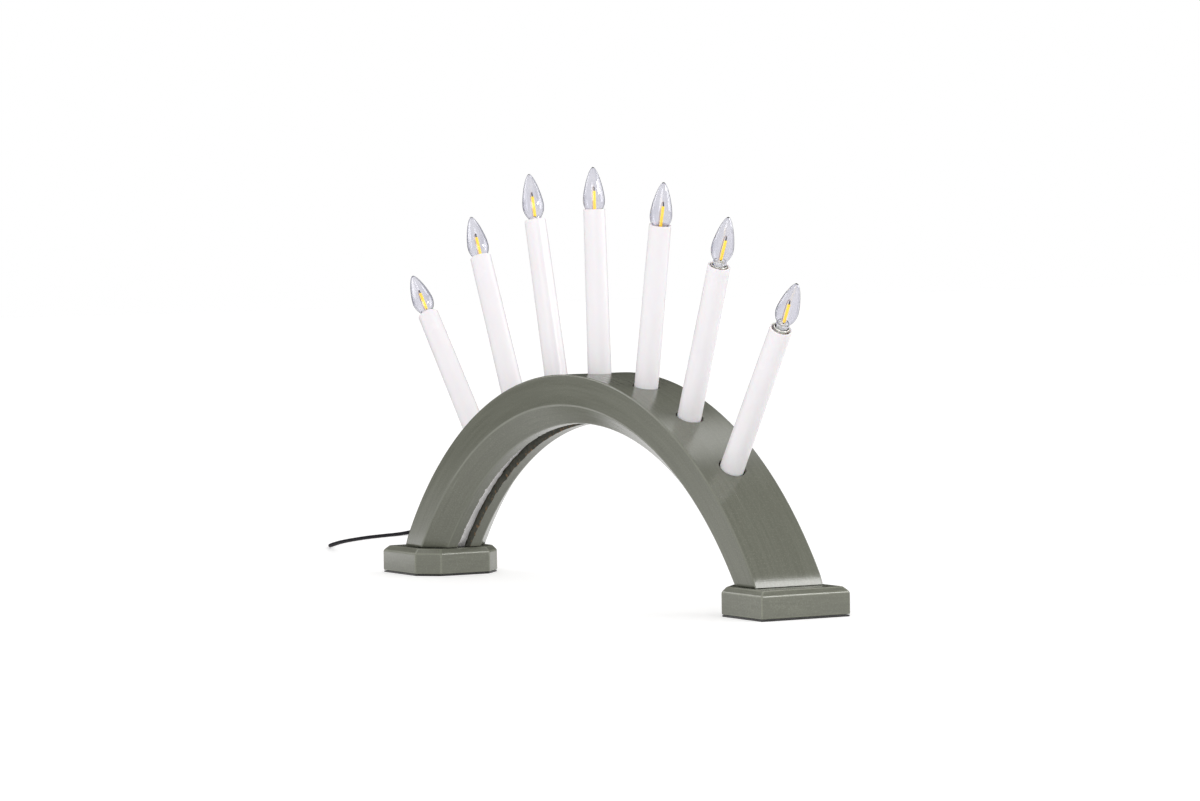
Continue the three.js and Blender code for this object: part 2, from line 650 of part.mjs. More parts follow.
function roundedBox(left, bottom, right, top, radius) {
  const outline = new THREE.Path();
  outline.absarc(right - radius, bottom + radius, radius, -Math.PI / 2, 0);
  outline.absarc(right - radius, top - radius, radius, 0, Math.PI / 2);
  outline.absarc(left + radius, top - radius, radius, Math.PI / 2, Math.PI);
  outline.absarc(left + radius, bottom + radius, radius, Math.PI, 1.5 * Math.PI);
  return outline.getPoints(TIE_CORNER_STEPS);
}

// The tie is a strap round the turns, square to them.
function coilTie() {
  const room = CORD_RADIUS + TIE_CLEARANCE;
  const left = COIL_OUTER_RADIUS - COIL_PITCH * turnsPerLayer - room;
  const right = COIL_OUTER_RADIUS + room;
  const top = COIL_LIFT + COIL_PITCH * (COIL_LAYERS - 1) + CORD_RADIUS + SEAT_GAP;
  const wall = TIE_THICKNESS;
  const strap = new THREE.Shape(roundedBox(left - wall, 0, right + wall, top + wall, 2 * wall));
  strap.holes.push(new THREE.Path(roundedBox(left, wall, right, top, wall)));
  const geometry = new THREE.ExtrudeGeometry(strap, { depth: TIE_WIDTH, bevelEnabled: false });
  return closed(geometry.translate(0, 0, -TIE_WIDTH / 2).rotateX(Math.PI / 2).rotateZ(TIE_ANGLE));
}

add('cord_tie', coilTie(), blackPlastic).position.set(COIL_CENTRE.x, COIL_CENTRE.y, 0);

// The plug, with +Z along its pins
const plug = new THREE.Group();
plug.position.copy(plugEntry);
plug.rotation.set(0, Math.PI / 2, PLUG_HEADING, 'ZYX');
lamp.add(plug);

// An eight-sided ring, with its corners clipped.
function plugRing(along, width, height) {
  const clip = height * PLUG_CORNER;
  const [w, h] = [width / 2, height / 2];
  const quarter = [[h, w - clip], [h - clip, w]];
  const half = [...quarter, ...quarter.map(([x, y]) => [-x, y]).reverse()];
  return [...half, ...half.map(([x, y]) => [-x, -y])].map(([x, y]) => new THREE.Vector3(x, y, along));
}

const plugEnd = PLUG_SLEEVE_LENGTH + PLUG_LENGTH;
const plugRings = [
  plugRing(0, PLUG_SLEEVE_WIDTH, PLUG_SLEEVE_WIDTH),
  plugRing(PLUG_SLEEVE_LENGTH, PLUG_SLEEVE_ROOT, PLUG_SLEEVE_ROOT),
  plugRing(PLUG_SLEEVE_LENGTH, PLUG_GRIP_WIDTH, PLUG_GRIP_HEIGHT),
  plugRing(plugEnd - PLUG_FACE_LENGTH, PLUG_WIDTH, PLUG_HEIGHT),
  plugRing(plugEnd, PLUG_WIDTH, PLUG_HEIGHT),
];
add('plug_body', loft(plugRings, fan(plugRings[0].length)), blackPlastic, plug);

const pin = turned([
  [0, 0], [PIN_RADIUS, 0], [PIN_RADIUS, PIN_LENGTH - PIN_NOSE],
  [PIN_RADIUS - PIN_NOSE, PIN_LENGTH], [0, PIN_LENGTH],
], PIN_SIDES);
for (const [name, across] of [['plug_pin_left', PIN_SPACING / 2], ['plug_pin_right', -PIN_SPACING / 2]]) {
  add(name, pin, steel, plug).position.set(0, across, plugEnd + SEAT_GAP);
}

export default lamp;
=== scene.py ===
"""The pieces, finishes and studio of a seven-light candle arch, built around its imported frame.

Metres, +Z up, the front towards -Y. Every piece sits where the frame has it.
"""
import json
import math

import bmesh
import bpy
from bpy.props import FloatProperty, FloatVectorProperty, IntProperty, PointerProperty
from bpy.types import Operator, Panel, PropertyGroup
from mathutils import Matrix, Vector, noise
from mathutils.geometry import interpolate_bezier


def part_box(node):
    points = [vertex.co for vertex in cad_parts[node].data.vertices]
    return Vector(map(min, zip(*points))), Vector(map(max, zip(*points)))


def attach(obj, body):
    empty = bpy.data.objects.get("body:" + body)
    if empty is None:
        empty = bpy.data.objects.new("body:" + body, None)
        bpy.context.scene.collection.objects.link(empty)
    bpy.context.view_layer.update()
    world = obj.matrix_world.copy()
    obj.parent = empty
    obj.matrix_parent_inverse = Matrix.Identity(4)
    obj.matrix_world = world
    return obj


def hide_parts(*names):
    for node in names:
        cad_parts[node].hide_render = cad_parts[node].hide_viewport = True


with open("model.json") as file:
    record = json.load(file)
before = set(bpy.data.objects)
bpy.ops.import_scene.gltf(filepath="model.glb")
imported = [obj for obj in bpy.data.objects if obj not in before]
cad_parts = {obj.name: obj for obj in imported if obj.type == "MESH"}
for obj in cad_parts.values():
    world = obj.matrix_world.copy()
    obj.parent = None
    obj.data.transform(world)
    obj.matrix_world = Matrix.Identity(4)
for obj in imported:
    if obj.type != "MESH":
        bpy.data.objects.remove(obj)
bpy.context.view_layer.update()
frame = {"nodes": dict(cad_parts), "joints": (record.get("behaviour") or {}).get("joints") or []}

bl_info = {
    "name": "Candle Arch",
    "version": (1, 0, 0),
    "blender": (4, 5, 0),
    "location": "3D View > Sidebar > Candle Arch",
    "description": "Builds the pieces, finishes and studio of a seven-light candle arch",
    "category": "Object",
}

MM = 0.001
SEAT_GAP = 0.3 * MM
LEEWAY = 0.1 * MM
STAND = "stand"
SIDES = ("left", "right")
SCREWS = [f"foot_screw_{side}_{end}" for side in SIDES for end in ("front", "back")]
CANDLES = range(1, 8)


def bulb_joint(number):
    """The hinge that a bulb turns on. It is on its candle's axis and the outer face of the arch."""
    return next(joint for joint in frame["joints"] if joint["name"] == f"bulb_{number}_turn")


# The arch, measured on its frame
arch_low, arch_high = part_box("arch")
CROWN_HEIGHT = arch_high.z
LEG_BOTTOM = arch_low.z
last_base = bulb_joint(7)["pos_m"]
last_drop = CROWN_HEIGHT - last_base[2]
OUTER_RADIUS = (last_base[0] ** 2 + last_drop ** 2) / (2 * last_drop)
ARCH_CENTRE = Vector((0, 0, CROWN_HEIGHT - OUTER_RADIUS))
ARCH_DEPTH = arch_high.y - arch_low.y
ARCH_THICKNESS = 30.7 * MM
INNER_RADIUS = OUTER_RADIUS - ARCH_THICKNESS
ARCH_CHAMFER = 11.6 * MM
ARCH_SPAN = math.acos(-ARCH_CENTRE.z / OUTER_RADIUS)
ARCH_TOP_CUTS = 22

# The groove under the arch, its torn mouth and its cover. Waves are [waves per metre, height]
GROOVE_WIDTH = 9.2 * MM
GROOVE_DEPTH = 10.5 * MM
GROOVE_EDGE = 0.3 * MM
GROOVE_FINISH_REACH = 1.6 * MM
TEAR_DEPTH = 1.3 * MM
TEAR_WAVES = ((260, 1), (700, 0.8))
COVER_RECESS = 5.4 * MM
COVER_THICKNESS = 1.2 * MM
COVER_ROUND = 0.3 * MM
COVER_TILT = 2.6 * MM
COVER_WAVES = ((150, 0.7 * MM), (420, 0.4 * MM))
COVER_SEAT_HEIGHT = 4 * MM
COVER_WHITE = (0.975, 0.97, 0.975)

# Ends of the legs: the flare starts and is whole at two depths inside the outer face
LEG_FLARE_HEIGHT = 8 * MM
LEG_FLARE_DEPTH = 1.2 * MM
LEG_FLARE_START = 5 * MM
LEG_FLARE_WHOLE = 1 * MM
LEG_FLARE_CUTS = (0.1, 0.25, 0.4, 0.55, 0.7, 0.85, 1)
LEG_EASE = 1.1 * MM

# Holes: cutters stand out of the wood by an overrun
SOCKET_CLEARANCE = 0.9 * MM
SOCKET_EASE = 0.2 * MM
SOCKET_OVERRUN = 4 * MM
SOCKET_SIDES = 48
WIRE_BORE_RADIUS = 2.5 * MM
SCREW_SHANK_RADIUS = 2 * MM
SCREW_OVERRUN = 5 * MM
SMALL_HOLE_SIDES = 24

# Feet and pads
# The feet's rounded edges take a lighter copy of their paint, by this share: a painted highlight
EDGE_HIGHLIGHT_SHARE = 1.12
PAD_INSET = 0.4 * MM
PAD_ROUND = 0.2 * MM

# Candle tubes and lamp holders
TUBE_TOP_RADIUS = 6.7 * MM
TUBE_WALL = 1.0 * MM
TUBE_RIM_STEPS = 8
HOLDER_WALL = 0.4 * MM
HOLDER_LENGTH = 14.5 * MM
HOLDER_FLOOR = 1.0 * MM
HOLDER_SINK = 2.5 * MM
RIM_STEPS = 6

# Bulbs: heights are above the rim of the holder in the frame, and handles of the glass's curves are shares
CAP_RADIUS = 4.7 * MM
CAP_WALL = 0.4 * MM
CAP_BOTTOM = -11.6 * MM
CAP_CONE = 2.1 * MM
CAP_FLOOR = 0.8 * MM
CAP_RISE = 0.3 * MM
CAP_PLAIN_BAND = 1.2 * MM
CAP_STEPS = 44
CAP_SIDES = 48
THREAD_PITCH = 1.814 * MM
THREAD_DEPTH = 0.3 * MM
GLASS_NECK_RADIUS = 4.0 * MM
GLASS_NECK_LENGTH = 5.0 * MM
GLASS_BELLY_RADIUS = 6.75 * MM
GLASS_BELLY_HEIGHT = 7.7 * MM
GLASS_HEIGHT = 28.3 * MM
GLASS_WALL = 0.7 * MM
GLASS_TIP_WALL = 0.9 * MM
GLASS_LIFT = 3.1 * MM
SHOULDER_HANDLES = ((0.44, 0.2), (1, 0.55))
CHEEK_HANDLES = ((1, 0.28), (0.42, 0.985))
GLASS_STEPS = 22
GLASS_SIDES = 96

# Light strips. The lists are in millimetres, and profiles are [radius, height]
FILAMENT_FOOT = -10.5 * MM
FILAMENT_LOW = 4.1 * MM
FILAMENT_HIGH = 16.6 * MM
FILAMENT_RADIUS = 0.9 * MM
FILAMENT_EASE = 0.4 * MM
FILAMENT_OFFSET = 0.6 * MM
FILAMENT_PIVOT = 3.0 * MM
FILAMENT_LEANS = (0, 0, 0, 0, 2.4, 3.0, -3.6)
FILAMENT_SIDES = 24
VIEW_HEADING = Vector((-0.866, 0.5, 0))
WIRE_RADIUS = 0.25 * MM
BELOW_STRIP = [(0.25, -1.7), (0.42, -1.6), (0.42, 0)]
ABOVE_STRIP = [(0.42, 0), (0.42, 2.2), (0.25, 2.3), (0.25, 2.6), (0, 2.8)]
SIDE_WIRE = [(-1.3, 0, -9.5), (-1.3, 0, 1.5), (-1.9, 0, 5.0), (-2.0, 0, 11.0), (-1.6, 0, 16.5),
             (-0.5, 0, 19.0), (0.6, 0, 19.3)]
MOUNT_PROFILE = [(0, -6), (3.1, -6), (3.15, -2), (3.15, 0), (3.15, 1.0), (3.2, 1.7), (3.1, 2.2), (2.7, 2.6),
                 (2.1, 2.9), (1.4, 3.2), (0.7, 3.4), (0, 3.5)]
MOUNT_SIDES = 32

# Strain relief, plug and tie. Grooves between ribs are [depth, length] and rings [height, width, place],
# in millimetres
RELIEF_RADIUS = 2.8 * MM
RELIEF_TIP_RADIUS = 1.7 * MM
RELIEF_DEPTH = 12 * MM
RELIEF_LENGTH = 20 * MM
RELIEF_EDGE = 0.2 * MM
RELIEF_MOUTH = 3 * MM
RELIEF_RIBS = [(4.0 + 2.1 * k) * MM for k in range(7)]
RELIEF_GROOVE = [(0, 0), (0.45, 0.25), (0.45, 0.95), (0, 1.2)]
MOULDED_SIDES = 32
PLUG_SLEEVE_LENGTH = 16 * MM
PLUG_SLEEVE_WIDTH = 4.8 * MM
PLUG_SLEEVE_FLARE = 0.15
PLUG_SLEEVE_ROUND = 0.32
PLUG_RIBS = [start * MM for start in (2.5, 5.5, 8.5, 11.5)]
PLUG_GROOVE = [(0, 0), (0.9, 0.3), (0.9, 1.2), (0, 1.5)]
PLUG_RINGS = [(7.2, 7.2, 15.6), (7.6, 8.0, 16.0), (8.4, 13.0, 16.2), (9.0, 15.0, 17.2), (10.4, 20.0, 24.0),
              (12.2, 28.5, 34.0), (13.3, 34.0, 40.5), (13.7, 35.3, 43.5), (13.7, 35.3, 50.8),
              (13.2, 34.8, 51.7), (12.4, 34.0, 52.0)]
PLUG_LENGTH = 36 * MM
PIN_RADIUS = 2 * MM
PIN_LENGTH = 19 * MM
PIN_SPACING = 18.6 * MM
PIN_SLEEVE_LENGTH = 9 * MM
PIN_SLEEVE_WALL = 0.1 * MM
PIN_NOSE = 1.2 * MM
PIN_ROOT = 1 * MM
TIE_ANGLE = math.radians(-30)
TIE_WIDTH = 5 * MM
TIE_THICKNESS = 0.6 * MM
TIE_ROOM = 0.5 * MM
TIE_EDGE = 0.12 * MM
LAP_LENGTH = 9 * MM
LAP_INSET = 6 * MM
LAP_WIDTH_SHARE = 0.96
LAP_EDGE = 0.2 * MM

# The lead: its free stretch from the strain relief to the coil
CORD_RADIUS = 1.2 * MM
CORD_POINTS = [
    (-0.2300, 0, 0.0263), (-0.2326, 0, 0.0263), (-0.238, 0, 0.0262), (-0.245, 0.0001, 0.0253),
    (-0.257, 0.0003, 0.0233), (-0.275, 0.001, 0.021), (-0.290, 0.002, 0.0195), (-0.305, 0.0035, 0.018),
    (-0.320, 0.0052, 0.0165), (-0.335, 0.0074, 0.0149), (-0.350, 0.0099, 0.0132), (-0.365, 0.0128, 0.0115),
    (-0.380, 0.016, 0.0097), (-0.395, 0.0197, 0.0078), (-0.410, 0.024, 0.0058), (-0.425, 0.029, 0.0039),
    (-0.440, 0.035, 0.0023), (-0.455, 0.043, 0.0014), (-0.470, 0.0545, 0.0012), (-0.484, 0.068, 0.0012),
    (-0.497, 0.084, 0.0012), (-0.5075, 0.100, 0.0012), (-0.5155, 0.116, 0.0012), (-0.521, 0.131, 0.0013),
    (-0.5237, 0.146, 0.0018), (-0.5247, 0.157, 0.0021),
]
EXIT_HEIGHT = CORD_POINTS[0][2]
COIL_CENTRE = Vector((-0.5051, 0.165, 0))
COIL_OUTER_RADIUS = 19.6 * MM
COIL_LAYERS = 4
COIL_TURNS = 15.4
COIL_PITCH = 2.9 * MM
COIL_LIFT = 2.1 * MM
COIL_CLIMB = 0.5
COIL_LOOP_STEPS = 20
TAIL_HANDLE = 24 * MM
TAIL_STEPS = 14
PLUG_ENTRY = Vector((-0.4544, 0.1366, 0.00685))
PLUG_HEADING = math.radians(-29.3)

# The studio. Cloths are [grey, glow], cards [name, cloth, place, target, size], lamps end with their power
SENSOR_WIDTH = 36
FLOOR_SIZE = 12
FLOOR_GREY = (0.80, 0.80, 0.80, 1)
FLOOR_GLOW = 0.335
AMBIENT_TINT = (1.0, 0.99, 0.985, 1)
CLOTHS = {"card_black": (0.03, 0), "card_white": (0.8, 2.6), "card_soft": (0.8, 1.7), "card_lit": (0.8, 14)}
CARDS = [
    ("card_dark_left", "card_black", (-1.067, -0.025, 0.14), (-0.207, 0.485, 0.14), (1.195, 0.44)),
    ("card_dark_back", "card_black", (-0.95, 0.62, 0.60), (0, 0, 0.1), (1.6, 1.3)),
    ("card_dark_far", "card_black", (-1.15, -0.02, 0.5), (0, 0, 0.5), (0.75, 1.0)),
    ("card_dark_top", "card_black", (0.50, 0.72, 1.22), (0.2, 0, 0.05), (1.3, 0.7)),
    ("card_bright_left", "card_white", (-0.80, -0.60, 0.75), (0, 0, 0.55), (0.56, 0.7)),
    ("card_bright_strip", "card_white", (-0.81, -0.344, 0.40), (0, 0, 0.40), (0.10, 0.46)),
    ("card_bright_back", "card_white", (0.12, 1.0, 0.58), (0, 0, 0.45), (0.45, 0.8)),
    ("card_foot", "card_soft", (-0.31, -0.095, 0.008), (-0.206, -0.03, 0.008), (0.12, 0.016)),
    ("card_bright_right", "card_lit", (1.24, 0.75, 0.835), (0.2, 0, 0.02), (0.6, 0.42)),
]
SOFTBOXES = [
    ("softbox_above", (-0.264, 0.50, 0.873), (0.13, 0, 0.1), (0.24, 0.24), 0.28),
    ("softbox_front", (1.5, -1.5, 0.70), (0, 0, 0.1), (1.2, 1.2), 12),
    ("softbox_back", (0.70, 1.40, 0.55), (0, 0, 0.2), (0.8, 0.9), 6),
]


# Settings

def colour_setting(name, description, default):
    """A colour as it is seen on a screen."""
    return FloatVectorProperty(
        name=name, description=description, default=default, subtype="COLOR_GAMMA", size=3, min=0, max=1)


def length_setting(name, description, default):
    """A length in metres."""
    return FloatProperty(
        name=name, description=description, default=default, unit="LENGTH", subtype="DISTANCE", precision=4)


def angle_setting(name, description, default):
    """An angle, given here in degrees."""
    return FloatProperty(
        name=name, description=description, default=math.radians(default), unit="ROTATION", subtype="ANGLE")


class WoodSettings(PropertyGroup):
    """Painted wood of the arch and its feet."""
    paint: colour_setting("Paint", "Satin paint of the arch", (0.424, 0.431, 0.388))
    # The feet's paint is the arch's paint made a little lighter: painted light
    lit_foot_paint: colour_setting("Foot paint", "Satin paint of the feet", (0.437, 0.444, 0.400))
    raw_wood: colour_setting("Raw wood", "Sawn wood along the wiring groove", (0.60, 0.46, 0.32))
    edge_round: length_setting("Edge rounding", "Rounding of the sanded edges of the arch", 0.0010)
    foot_corner: length_setting("Foot corner", "Clip on the inner corners of a foot", 0.0125)
    foot_chamfer: length_setting("Foot chamfer", "Chamfer round the top of a foot", 0.0031)
    foot_round: length_setting("Foot rounding", "Rounding of a foot's edges", 0.0008)
    arch_steps: IntProperty(name="Arch steps", description="Steps round the arch", default=400, min=24)


class CandleSettings(PropertyGroup):
    """Candle tubes, holders and bulbs."""
    white: colour_setting("Candle white", "Colour of the candle tubes", (0.955, 0.940, 0.952))
    glass: colour_setting("Glass", "Tint of the bulbs' glass", (0.868, 0.866, 0.899))
    light: colour_setting("Light strip", "Colour of the filaments", (1.0, 0.81, 0.10))
    metal: colour_setting("Plated metal", "Nickel of caps and holders", (0.90, 0.895, 0.87))
    sides: IntProperty(name="Sides", description="Sides of the tubes and holders", default=64, min=16)


class LeadSettings(PropertyGroup):
    """The lead, its tie and its plug."""
    sheath: colour_setting("Sheath", "Colour of the lead", (0.105, 0.100, 0.118))
    plug: colour_setting("Plug", "Colour of the plug", (0.145, 0.140, 0.155))


class StudioSettings(PropertyGroup):
    """Camera, floor and lights."""
    azimuth: angle_setting("Azimuth", "Camera's bearing from the front, towards the right", 60.0)
    elevation: angle_setting("Elevation", "Camera's height above the horizon", 2.6007)
    roll: angle_setting("Roll", "Camera's tilt to one side", -0.7696)
    lens: FloatProperty(name="Lens", description="Focal length in millimetres", default=152.766, min=1)
    place: FloatVectorProperty(
        name="Place", description="Where the camera stands", default=(2.72104, -1.57136, 0.26182),
        subtype="TRANSLATION", unit="LENGTH", precision=5)
    ambient: FloatProperty(name="Ambient", description="Light from all round", default=0.86, min=0)


class CandleArchSettings(PropertyGroup):
    """All that a user would change."""
    wood: PointerProperty(type=WoodSettings)
    candle: PointerProperty(type=CandleSettings)
    lead: PointerProperty(type=LeadSettings)
    studio: PointerProperty(type=StudioSettings)


# Modelling helpers

def near(a, b):
    return abs(a - b) < 0.01 * MM


def ramp(value, low, high):
    """How far a value has come from low to high, from none to one."""
    return min(max((value - low) / (high - low), 0), 1)


def uneven(place, waves):
    """A smooth random height at a place."""
    return sum(height * noise.noise(place * scale) for scale, height in waves)


def in_mm(points, lift=0):
    """Points given in millimetres, with their last measure raised by a lift."""
    return [(*(part * MM for part in parts), last * MM + lift) for *parts, last in points]


def arc(centre, radius, start, end, steps):
    """Points on an arc of a profile, angles in degrees from the radial direction."""
    angles = [math.radians(start + (end - start) * k / steps) for k in range(steps + 1)]
    return [(centre[0] + radius * math.cos(a), centre[1] + radius * math.sin(a)) for a in angles]


def begin(add, **settings):
    """Adds a primitive, puts its place into its mesh and opens it for editing, with nothing else selected."""
    bpy.ops.object.select_all(action="DESELECT")
    add(**settings)
    bpy.ops.object.transform_apply(location=True, rotation=True, scale=True)
    bpy.ops.object.mode_set(mode="EDIT")
    return bpy.context.active_object


def pick(piece, kind, test):
    """In edit mode, selects only the vertices, edges or faces that pass a test."""
    bpy.ops.mesh.select_mode(type=kind)
    bpy.ops.mesh.select_all(action="DESELECT")
    mesh = bmesh.from_edit_mesh(piece.data)
    for part in {"VERT": mesh.verts, "EDGE": mesh.edges, "FACE": mesh.faces}[kind]:
        part.select_set(test(part))
    mesh.select_flush_mode()
    bmesh.update_edit_mesh(piece.data)


def cut(place, normal, **settings):
    """In edit mode, cuts the whole mesh along a plane."""
    bpy.ops.mesh.select_all(action="SELECT")
    bpy.ops.mesh.bisect(plane_co=place, plane_no=normal, **settings)


def grow(step, scale, centre):
    """Extrudes what is selected by a step and resizes it about a centre."""
    bpy.ops.mesh.extrude_region_move(TRANSFORM_OT_translate={"value": step})
    bpy.ops.transform.resize(value=scale, center_override=centre)


def smooth(angle=30):
    """Shades the active piece smooth across edges up to an angle in degrees."""
    bpy.ops.object.shade_smooth_by_angle(angle=math.radians(angle))


def settle(piece, angle=30):
    """Merges doubled corners, turns the faces outwards, closes the edit and shades up to an angle smooth."""
    bpy.ops.mesh.select_mode(type="VERT")
    bpy.ops.mesh.select_all(action="SELECT")
    bpy.ops.mesh.remove_doubles(threshold=0.0005 * MM)
    bpy.ops.mesh.normals_make_consistent(inside=False)
    bpy.ops.object.mode_set(mode="OBJECT")
    smooth(angle)
    return piece


def turned(profile, sides):
    """A round piece: a ring, extruded and resized from each [radius, height] to the next."""
    (radius, height), *rest = profile
    small = 0.001 * MM
    piece = begin(bpy.ops.mesh.primitive_circle_add, vertices=sides, radius=max(radius, small))
    bpy.ops.transform.translate(value=(0, 0, height))
    for next_radius, next_height in rest:
        share = max(next_radius, small) / max(radius, small)
        grow((0, 0, next_height - height), (share, share, 1), (0, 0, next_height))
        radius, height = next_radius, next_height
    pick(piece, "VERT", lambda v: math.hypot(v.co.x, v.co.y) < 2 * small)
    bpy.ops.mesh.remove_doubles(threshold=5 * small)
    return settle(piece)


def smooth_wire(name, points, radius, roundness, steps):
    """A round wire through all points, as a curve."""
    curve = bpy.data.curves.new(name, "CURVE")
    curve.dimensions = "3D"
    curve.bevel_depth = radius
    curve.bevel_resolution = roundness
    curve.resolution_u = steps
    curve.use_fill_caps = True
    knots = curve.splines.new("BEZIER").bezier_points
    knots.add(len(points) - 1)
    for knot, place in zip(knots, points):
        knot.co = place
        knot.handle_left_type = knot.handle_right_type = "AUTO"
    wire = bpy.data.objects.new(name, curve)
    bpy.context.scene.collection.objects.link(wire)
    return wire


def select_only(*pieces):
    """Selects some pieces and makes the first of them active."""
    bpy.ops.object.select_all(action="DESELECT")
    for piece in pieces:
        piece.select_set(True)
    bpy.context.view_layer.objects.active = pieces[0]


def joined(*pieces):
    """Several meshes as one, in the first of them."""
    select_only(*pieces)
    bpy.ops.object.join()
    return pieces[0]


def apply_modifier(piece, kind, **settings):
    """Adds a modifier to a piece, makes the piece active and applies the modifier."""
    modifier = piece.modifiers.new(kind.title(), kind)
    for name, value in settings.items():
        setattr(modifier, name, value)
    bpy.context.view_layer.objects.active = piece
    bpy.ops.object.modifier_apply(modifier=modifier.name)


def even_shading(piece):
    """Keeps broad faces flat next to rounded edges."""
    apply_modifier(piece, "WEIGHTED_NORMAL", keep_sharp=True)


def carve(piece, cutter):
    """Cuts one closed piece out of another and removes the cutter."""
    apply_modifier(piece, "BOOLEAN", object=cutter, operation="DIFFERENCE", solver="EXACT")
    bpy.data.objects.remove(cutter)


def placed_copy(piece, matrix):
    """A copy with a mesh of its own, put in place."""
    copy = piece.copy()
    copy.data = piece.data.copy()
    copy.data.transform(matrix)
    bpy.context.scene.collection.objects.link(copy)
    return copy


def coat(piece, *finishes):
    """Gives a piece its finishes."""
    for finish in finishes:
        piece.data.materials.append(finish)


def second_finish(piece, test):
    """Puts the second finish on the faces whose centre passes a test, and the first on all others."""
    for face in piece.data.polygons:
        face.material_index = int(test(face.center))


def dress(piece, name, body, slot, *nodes):
    """Names a piece, says what it rides on and hides the nodes that it stands for. The slot is not used."""
    piece.name = name
    piece.data.name = name
    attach(piece, body)
    if nodes:
        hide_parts(*nodes)


# Places of the candles, from the frame

def candle_matrix(number):
    """The frame of a candle: +Z along it, the origin on the outer face of the arch."""
    joint = bulb_joint(number)
    axis = Vector(joint["axis"])
    lean = math.asin(-axis.y)
    angle = math.atan2(axis.x, axis.z)
    turn = Matrix.Rotation(angle, 4, "Y") @ Matrix.Rotation(lean, 4, "X")
    return Matrix.Translation(joint["pos_m"]) @ turn


def reach(stem, number=1):
    """Lowest and highest place of a numbered node along its candle, and its largest radius."""
    inverse = candle_matrix(number).inverted()
    points = [inverse @ v.co for v in frame["nodes"][f"{stem}_{number}"].data.vertices]
    heights = [p.z for p in points]
    return min(heights), max(heights), max(math.hypot(p.x, p.y) for p in points)


def on_candles(piece, stem, slot, body, place):
    """Copies a piece to its place on every candle and removes the first one."""
    for number in CANDLES:
        copy = placed_copy(piece, candle_matrix(number) @ place(number))
        dress(copy, f"{stem}_{number}_look", body(number), slot, f"{stem}_{number}")
    bpy.data.objects.remove(piece)


def at_tube_height(number):
    return Matrix.Translation((0, 0, reach("candle_tube", number)[1] - reach("candle_tube")[1]))


def at_holder_rim(number):
    return Matrix.Translation((0, 0, reach("lamp_holder", number)[1]))


def stand_body(number):
    return STAND


def bulb_body(number):
    return f"bulb_{number}"


# Finishes. Brush marks are per radian and metre along, across and through the arch, and per metre on the feet

EVEN = (0.3, 0.7)
ARCH_BRUSH = (4, 620, 420)
FOOT_BRUSH = (60, 60, 650)
# Painted highlight on the arch's corners: it fades out between these distances from a corner
CORNER_HIGHLIGHT_WIDTH = (0.3 * MM, 0.9 * MM)
FLECK_REACH = 3.5 * MM


def linear(colour):
    """A screen colour as the linear colour that shaders take."""
    return [c / 12.92 if c <= 0.04045 else ((c + 0.055) / 1.055) ** 2.4 for c in colour] + [1.0]


def shade(colour, factor):
    return [min(c * factor, 1.0) for c in colour[:3]] + [1.0]


class Nodes:
    """A node tree in the making, with short ways to add and join its nodes."""

    def __init__(self, tree):
        self.tree = tree

    def join(self, value, socket):
        if isinstance(value, bpy.types.NodeSocket):
            self.tree.links.new(value, socket)
        else:
            socket.default_value = value

    def fill(self, node, sockets):
        for name, value in sockets.items():
            self.join(value, node.inputs[name.replace("_", " ")])

    def add(self, kind, settings=None, **sockets):
        made = self.tree.nodes.new("ShaderNode" + kind)
        for name, value in (settings or {}).items():
            setattr(made, name, value)
        self.fill(made, sockets)
        return made

    def chain(self, kind, *values, **settings):
        """The first output of a new node that takes its inputs in their order."""
        made = self.add(kind, settings)
        for value, socket in zip(values, made.inputs):
            self.join(value, socket)
        return made.outputs[0]

    def math(self, operation, *values):
        return self.chain("Math", *values, operation=operation)

    def seen_rays(self):
        """One for a ray of the camera, of a reflection or through glass, and otherwise none."""
        path = self.add("LightPath").outputs
        mirrored = self.math("MAXIMUM", path["Is Camera Ray"], path["Is Glossy Ray"])
        return self.math("MAXIMUM", mirrored, path["Is Transmission Ray"])


class Finish(Nodes):
    """A material in the making, with its patterns on the object's own coordinates."""

    def __init__(self, name, **sockets):
        self.material = bpy.data.materials.new(name)
        self.material.use_nodes = True
        super().__init__(self.material.node_tree)
        self.shader = self.tree.nodes["Principled BSDF"]
        self.output = self.tree.nodes["Material Output"]
        self.fill(self.shader, sockets)
        self.object = self.add("TexCoord").outputs["Object"]

    def stretched(self, scale):
        return self.add("Mapping", Vector=self.object, Scale=scale).outputs["Vector"]

    def noise(self, scale, detail=4, roughness=0.5, vector=None):
        vector = vector or self.object
        return self.add("TexNoise", Vector=vector, Scale=scale, Detail=detail, Roughness=roughness).outputs[0]

    def distance(self, *sides):
        squares = [self.math("MULTIPLY", side, side) for side in sides]
        return self.math("SQRT", self.math("ADD", *squares))

    def ranged(self, value, low, high, to_low, to_high):
        made = self.add("MapRange", Value=value, From_Min=low, From_Max=high, To_Min=to_low, To_Max=to_high)
        return made.outputs[0]

    def mixed(self, factor, first, second):
        """Two colours, on the colour sockets of a mix."""
        made = self.add("Mix", {"data_type": "RGBA"})
        for value, place in ((factor, 0), (first, 6), (second, 7)):
            self.join(value, made.inputs[place])
        return made.outputs[2]

    def toned(self, pattern, spread, first, second):
        """From one colour to another as a pattern goes through a spread."""
        return self.mixed(self.ranged(pattern, *spread, 0, 1), first, second)

    def colour(self, socket):
        self.join(socket, self.shader.inputs["Base Color"])

    def roughness(self, socket):
        self.join(socket, self.shader.inputs["Roughness"])

    def bump(self, height, distance, strength=1):
        made = self.add("Bump", Height=height, Distance=distance, Strength=strength)
        self.join(made.outputs["Normal"], self.shader.inputs["Normal"])


